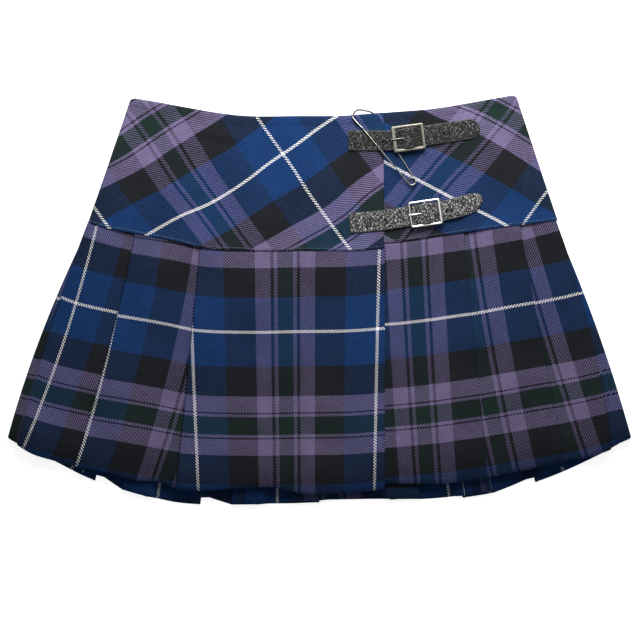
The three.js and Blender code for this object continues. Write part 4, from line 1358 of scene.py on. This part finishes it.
def makePin():
    seat = pin["wire"] + pin["clearance"]
    strapTop = strap["clearance"] + strap["thickness"]
    topZ = float(overTop(*pinPlan["sleeveTop"])) + seat + pin["sleeveLift"]
    footZ = float(overTop(*pinPlan["sleeveFoot"])) + strapTop + seat + pin["footLift"]
    between = float(underTop(*pinPlan["backTip"])) + seat
    cx, cy = pinPlan["coil"]
    fx, fy = pinPlan["sleeveFoot"]
    turnLift = 2 * pin["wire"] + pin["coilGap"]
    base = float(underTop(cx, cy - pin["coilRadius"])) + seat + pin["coilLift"]
    startAngle = math.atan2(cy - fy, cx - fx) - math.pi / 2
    sweep = pin["turns"] * 2 * math.pi
    ring = []
    for i in range(pin["coilPieces"] + 1):
        part = i / pin["coilPieces"]
        angle = startAngle + sweep * part
        ringX, ringY = cx + pin["coilRadius"] * math.cos(angle), cy + pin["coilRadius"] * math.sin(angle)
        ring.append((ringX, ringY, base + turnLift * pin["turns"] * (1 - part)))
    first = ring[0]
    dx, dy = fx - first[0], fy - first[1]
    size = math.hypot(dx, dy)
    sx, sy = fx - dx / size * pin["joint"], fy - dy / size * pin["joint"]
    edgeX = overlap["yoke"]
    edgeY = mix(sy, first[1], (edgeX - sx) / (first[0] - sx))
    edge = (edgeX, edgeY, float(overTop(edgeX, edgeY)) + strapTop + seat)
    backNames = ("backMiddle", "backOut", "backTip")
    onUnder = [(*pinPlan[key], float(underTop(*pinPlan[key])) + seat) for key in backNames]
    points = [(sx, sy, footZ), edge, *ring, *onUnder]
    lift = lambda pts: [Vector((p[0], p[1] + outlineShift, p[2])) * mm for p in pts]
    wire, widths = roundedEnds(lift(points), pin["wire"] * mm)
    wireObject = linkMesh("kiltPinWire", *barMesh(wire, widths, 14))
    capPoints = [(fx, fy, footZ), (*pinPlan["sleeveTop"], topZ)]
    capRadii = [pin["wireEnd"], pin["sleeve"]]
    for i, (x, y) in enumerate(pinHead):
        part = min(1, (i + 1) / (len(pinHead) - 1))
        capPoints.append((x, y, mix(topZ, between, part)))
        capRadii.append(mix(pin["cap"], pin["wireEnd"], part))
    finePath = catmullPoints(capPoints, 8)
    fineRadii = np.interp(np.linspace(0, len(capRadii) - 1, len(finePath)), range(len(capRadii)), capRadii)
    capObject = linkMesh("kiltPinCap", *barMesh(lift(finePath), [float(r) * mm for r in fineRadii], 16))
    return wireObject, capObject


# Stitches along a path: small ovals at an even pitch, made by Geometry Nodes
def stitchTree():
    tree = bpy.data.node_groups.new("stitchRow", "GeometryNodeTree")
    kinds = {name: "Float" for name in ("Pitch", "Length", "Width", "Height")}
    for name, kind in {"Geometry": "Geometry", **kinds, "Seed": "Int", "Thread": "Material"}.items():
        tree.interface.new_socket(name, in_out="INPUT", socket_type=f"NodeSocket{kind}")
    tree.interface.new_socket("Geometry", in_out="OUTPUT", socket_type="NodeSocketGeometry")
    graph = Graph(tree)
    given = graph.node("NodeGroupInput").outputs
    curve = graph.node("GeometryNodeMeshToCurve", {"Mesh": given["Geometry"]}).outputs[0]
    spots = graph.node("GeometryNodeCurveToPoints", {"Curve": curve, "Length": given["Pitch"]}, mode="LENGTH")
    oval = graph.node("GeometryNodeMeshUVSphere", {"Segments": 8, "Rings": 5, "Radius": 0.5}).outputs[0]
    sizes = {0: given["Height"], 1: given["Width"], 2: given["Length"]}
    shape = graph.node("ShaderNodeCombineXYZ", sizes).outputs[0]
    sized = graph.node("GeometryNodeTransform", {"Geometry": oval, "Scale": shape}).outputs[0]
    scales = {"Seed": given["Seed"], 2: 0.85, 3: 1.1}
    uneven = graph.node("FunctionNodeRandomValue", scales, data_type="FLOAT")
    placed = graph.node("GeometryNodeInstanceOnPoints", {
        "Points": spots.outputs["Points"], "Instance": sized, "Rotation": spots.outputs["Rotation"],
        "Scale": uneven.outputs[1],
    }).outputs[0]
    real = graph.node("GeometryNodeRealizeInstances", {"Geometry": placed}).outputs[0]
    threads = {"Geometry": real, "Material": given["Thread"]}
    threaded = graph.node("GeometryNodeSetMaterial", threads).outputs[0]
    graph.node("NodeGroupOutput", {"Geometry": threaded})
    return tree


# Heights under points in x and y, found from above on a finished piece, as a path of its own
def pathOn(piece, places, lift):
    tree = BVHTree.FromObject(piece, bpy.context.evaluated_depsgraph_get())
    points = []
    for x, y in places:
        hit = tree.ray_cast(Vector((x * mm, (y + outlineShift) * mm, 0.1)), Vector((0, 0, -1)))[0]
        if hit is not None:
            points.append((hit.x, hit.y, hit.z + lift * mm))
    return points


def stitchPaths(name, tree, paths, kind):
    vertices, edges = [], []
    for path in paths:
        start = len(vertices)
        vertices += path
        edges += [(start + i, start + i + 1) for i in range(len(path) - 1)]
    mesh = bpy.data.meshes.new(name)
    mesh.from_pydata(vertices, edges, [])
    piece = placePiece(name, mesh)
    modifier = piece.modifiers.new("stitches", "NODES")
    modifier.node_group = tree
    sockets = {item.name: item.identifier for item in tree.interface.items_tree if item.in_out == "INPUT"}
    for key in ("Pitch", "Length", "Width", "Height"):
        modifier[sockets[key]] = kind[key.lower()] * mm
    modifier[sockets["Seed"]] = kind["seed"]
    modifier[sockets["Thread"]] = threadMaterial(kind["thread"], kind["colour"])
    bpy.context.view_layer.update()
    bakeModifier(piece, modifier)
    piece.data.shade_smooth()
    return piece


def threadMaterial(name, colour):
    material, graph, shader = newMaterial(name)
    twist = graph.noise(graph.place(), 2200.0, 2.0)
    tone = graph.ramp(twist, [(0.35, tuple(c * 0.6 for c in colour)), (0.65, colour)], "LINEAR")
    graph.give(shader, colour=tone, roughness=0.8, specular=0.2)
    return material


# Rows of stitching: the seam's shows as pale dots, the waist's and the straps' is dark
stitchKinds = {
    "yokeSeamStitching": {
        "pitch": 2.1, "length": 1.15, "width": 1.0, "height": 0.6, "seed": 3, "lift": 0.1,
        "thread": "seamThread", "colour": (0.25, 0.31, 0.42), "slot": "tartan",
    },
    "waistTopstitching": {
        "pitch": 2.6, "length": 1.7, "width": 0.5, "height": 0.4, "seed": 5, "lift": 0.05,
        "thread": "waistThread", "colour": (0.012, 0.022, 0.045), "slot": "tartan",
    },
    "strapStitching": {
        "pitch": 2.3, "length": 1.6, "width": 0.6, "height": 0.5, "seed": 7, "lift": 0.05,
        "thread": "strapThread", "colour": (0.006, 0.006, 0.006), "slot": "strap_leather",
    },
}
stitchPlan = {
    "gapAtEdge": 1.6, "step": 1.5, "seamEnds": 1.5, "waistEnd": 1, "strapHalf": 7.9, "strapCount": 12,
}


# Places along both front yokes, from one side of the skirt to the other, off an edge by a fixed way
def yokeRows(yokes, leftEnd, rightEnd, edges, off):
    joint, gap = overlap["yoke"], stitchPlan["gapAtEdge"]
    spans = ((leftEnd, joint - gap), (joint + gap, rightEnd))
    for yoke, edge, span in zip(yokes, edges, spans):
        yield yoke, [(x, float(along(edge, x)) + off) for x in np.arange(*span, stitchPlan["step"])]


def strapRows(straps):
    for closure, piece in straps:
        (ax, ay), (bx, by) = closure["line"][:2]
        size = math.hypot(bx - ax, by - ay)
        dx, dy = (bx - ax) / size, (by - ay) / size
        for s in closure["stitches"]:
            cs = np.linspace(-stitchPlan["strapHalf"], stitchPlan["strapHalf"], stitchPlan["strapCount"])
            yield piece, [(ax + dx * s - dy * c, ay + dy * s + dx * c) for c in cs]


def makeStitching(yokes, straps):
    tree = stitchTree()
    left, right, ends = sides["overYoke"], sides["underYoke"], stitchPlan["seamEnds"]
    up = yokeEdge["seamStitch"] - yokeEdge["reach"]
    rows = {
        "yokeSeamStitching": yokeRows(yokes, left[2] + ends, right[2] - ends, (overSeam, underSeam), up),
        "waistTopstitching": yokeRows(
            yokes, left[0] + stitchPlan["waistEnd"], right[0], (waist, waist), -yokeEdge["stitchDown"]
        ),
        "strapStitching": strapRows(straps),
    }
    for name, places in rows.items():
        kind = stitchKinds[name]
        piece = stitchPaths(name, tree, [pathOn(owner, row, kind["lift"]) for owner, row in places], kind)
        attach(piece, "root")


# Colours under the bare metal: painted shade on the sides, where the bars turn away from the light above, and
# painted shadow on the wire beyond an object y in millimetres
metalSideShade = (0.10, 0.095, 0.08)
metalShadow = {"colour": (0.085, 0.078, 0.065), "over": 3}


# wear is how far the roughness strays, and the next argument how light the painted shade on the sides is. The
# two limits after it say how far up a face must point to be painted bright, as if lit from above, and the
# wire is painted dark, as in shadow, beyond darkFrom
def metalMaterial(name, colour, roughness, wear, sideShade=1.0, litFrom=0.15, litTo=0.75, darkFrom=None):
    material, graph, shader = newMaterial(name)
    place = graph.place()
    scuff = graph.noise(place, 700.0, 4.0)
    tone = graph.ramp(scuff, [(0.35, tuple(c * 0.8 for c in colour)), (0.65, colour)], "LINEAR")
    litFromAbove = graph.spread(graph.axis(graph.place("Normal"), 2), litFrom, litTo, soft=True)
    # Painted shade on the sides, painted highlight on what faces up
    tone = graph.blend(litFromAbove, tuple(c * sideShade for c in metalSideShade), tone)
    # Painted shadow on the wire beyond darkFrom
    if darkFrom is not None:
        dark = graph.spread(graph.axis(place, 1), darkFrom * mm, (darkFrom + metalShadow["over"]) * mm)
        tone = graph.blend(dark, tone, metalShadow["colour"])
    graph.give(
        shader, colour=tone, roughness=graph.spread(scuff, 0.3, 0.7, roughness - wear, roughness + wear),
        metallic=1.0, normal=graph.bump(scuff, 0.0001, 0.15),
    )
    return material


skirtTartan = tartanMaterial("tartanTwill", 1.0, 0.4, 0.64, 0.35)
# The yokes' copy is lifted as painted light, and shows more of the weft
yokeTartan = tartanMaterial("tartanTwillYoke", 1.14, 0.26, 0.76, 0.6)
# The same leather twice: the lower strap's copy is painted lighter, for the light it catches
leathers = {
    "upper": leatherMaterial("pebbledLeather", 0.004, 0.03, 0.11),
    "lower": leatherMaterial("pebbledLeatherLit", 0.01, 0.16, 0.44),
}
metals = {
    "upper": (metalMaterial("dullNickel", (0.205, 0.198, 0.172), 0.32, 0.08), "nickel"),
    "lower": (metalMaterial("brightPlate", (0.93, 0.93, 0.94), 0.16, 0.05, 3.0), "bright_chrome"),
}
steel = metalMaterial("pinWireSteel", (0.42, 0.43, 0.38), 0.3, 0.06, 0.8, 0.3, 0.9)
bright = metalMaterial("pinSleeveSteel", (0.42, 0.415, 0.38), 0.24, 0.05, 0.3, 0.6, 0.97, 165.5)
tabLeather = plainLeather()


def finish(piece, material, slot, *nodes):
    piece.data.materials.clear()
    piece.data.materials.append(material)
    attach(piece, "root")
    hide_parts(*nodes)


clothPieces = {
    "front_apron_skirt": makeApronSkirt(),
    "front_under_skirt": makeUnderSkirt(),
    "back_skirt": makeBackSkirt(),
}
yokes = makeYokes()
clothPieces.update(zip(("apron_yoke", "under_yoke", "back_yoke"), yokes))
for node, piece in clothPieces.items():
    finish(piece, yokeTartan if node.endswith("yoke") else skirtTartan, "tartan", node)
print("cloth made")

flatSizes = {
    "front_apron_skirt": ((0.46, 0.225), "folded", ["front_under_skirt", "back_skirt"]),
    "front_under_skirt": ((0.415, 0.225), "folded", ["back_skirt"]),
    "back_skirt": ((0.91, 0.225), "folded", []),
    "apron_yoke": ((0.26, 0.122), "laid", ["under_yoke", "back_yoke"]),
    "under_yoke": ((0.225, 0.122), "laid", ["back_yoke"]),
    "back_yoke": ((0.40, 0.122), "laid", []),
}
for node, (flat, held, restsOn) in flatSizes.items():
    [clothPieces[n].name for n in restsOn]

straps = []
for closure in closures:
    plane = RestPlane(closure["centre"], closure["turn"])
    name = closure["name"]
    metal, slotName = metals[name]
    strapPiece = makeStrap(closure, plane)
    finish(strapPiece, leathers[name], "strap_leather", f"strap_{name}")
    straps.append((closure, strapPiece))
    frameObject, prongObject = makeBuckle(closure, plane)
    finish(frameObject, metal, slotName, f"buckle_frame_{name}")
    finish(prongObject, metal, slotName, f"prong_{name}")
    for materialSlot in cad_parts[f"buckle_tab_{name}"].material_slots:
        materialSlot.material = tabLeather
pinWire, pinCap = makePin()
finish(pinWire, steel, "pin_steel", "kilt_pin")
finish(pinCap, bright, "pin_steel", "pin_cap")
makeStitching(yokes, straps)
print("straps, buckles and pin made")


# Floor and lights
def makeStage():
    mesh = bpy.data.meshes.new("floor")
    reach = 6.0
    corners = [(-reach, -reach, 0), (reach, -reach, 0), (reach, reach, 0), (-reach, reach, 0)]
    mesh.from_pydata(corners, [], [(0, 1, 2, 3)])
    floor = placePiece("floor", mesh)
    material, graph, shader = newMaterial("paleFloor")
    graph.give(shader, colour=(0.9, 0.9, 0.9, 1), roughness=0.9, glow=(1, 1, 1, 1), glowStrength=0.75)
    mesh.materials.append(material)
    floor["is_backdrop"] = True


# A low key light from beyond the waist, a broad dim panel overhead for the metal to mirror, and soft air
lights = [
    {"name": "key", "place": (0.10, 0.55, 0.50), "aim": (0, 0.05, 0), "size": 0.4, "power": 6.2},
    {"name": "ceiling", "place": (0, 0, 1.85), "aim": (0, 0, 0), "size": 1.2, "power": 4.0},
]
airLight = 0.13


def makeLights():
    for light in lights:
        data = bpy.data.lights.new(light["name"], "AREA")
        data.size = light["size"]
        data.energy = light["power"]
        lamp = bpy.data.objects.new(light["name"], data)
        lamp.location = light["place"]
        direction = Vector(light["aim"]) - Vector(light["place"])
        lamp.rotation_euler = direction.to_track_quat("-Z", "Y").to_euler()
        bpy.context.collection.objects.link(lamp)
    world = bpy.data.worlds.new("softStudio")
    world.use_nodes = True
    background = world.node_tree.nodes["Background"]
    background.inputs[0].default_value = (1, 1, 1, 1)
    background.inputs[1].default_value = airLight
    bpy.context.scene.world = world
    bpy.context.scene.view_settings.view_transform = "Standard"


makeStage()
makeLights()
print("stage and lights set")

plain = lambda bounds: [[float(c) for c in corner] for corner in bounds]
{"cad": plain(cadBounds), "visual": plain(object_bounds())}
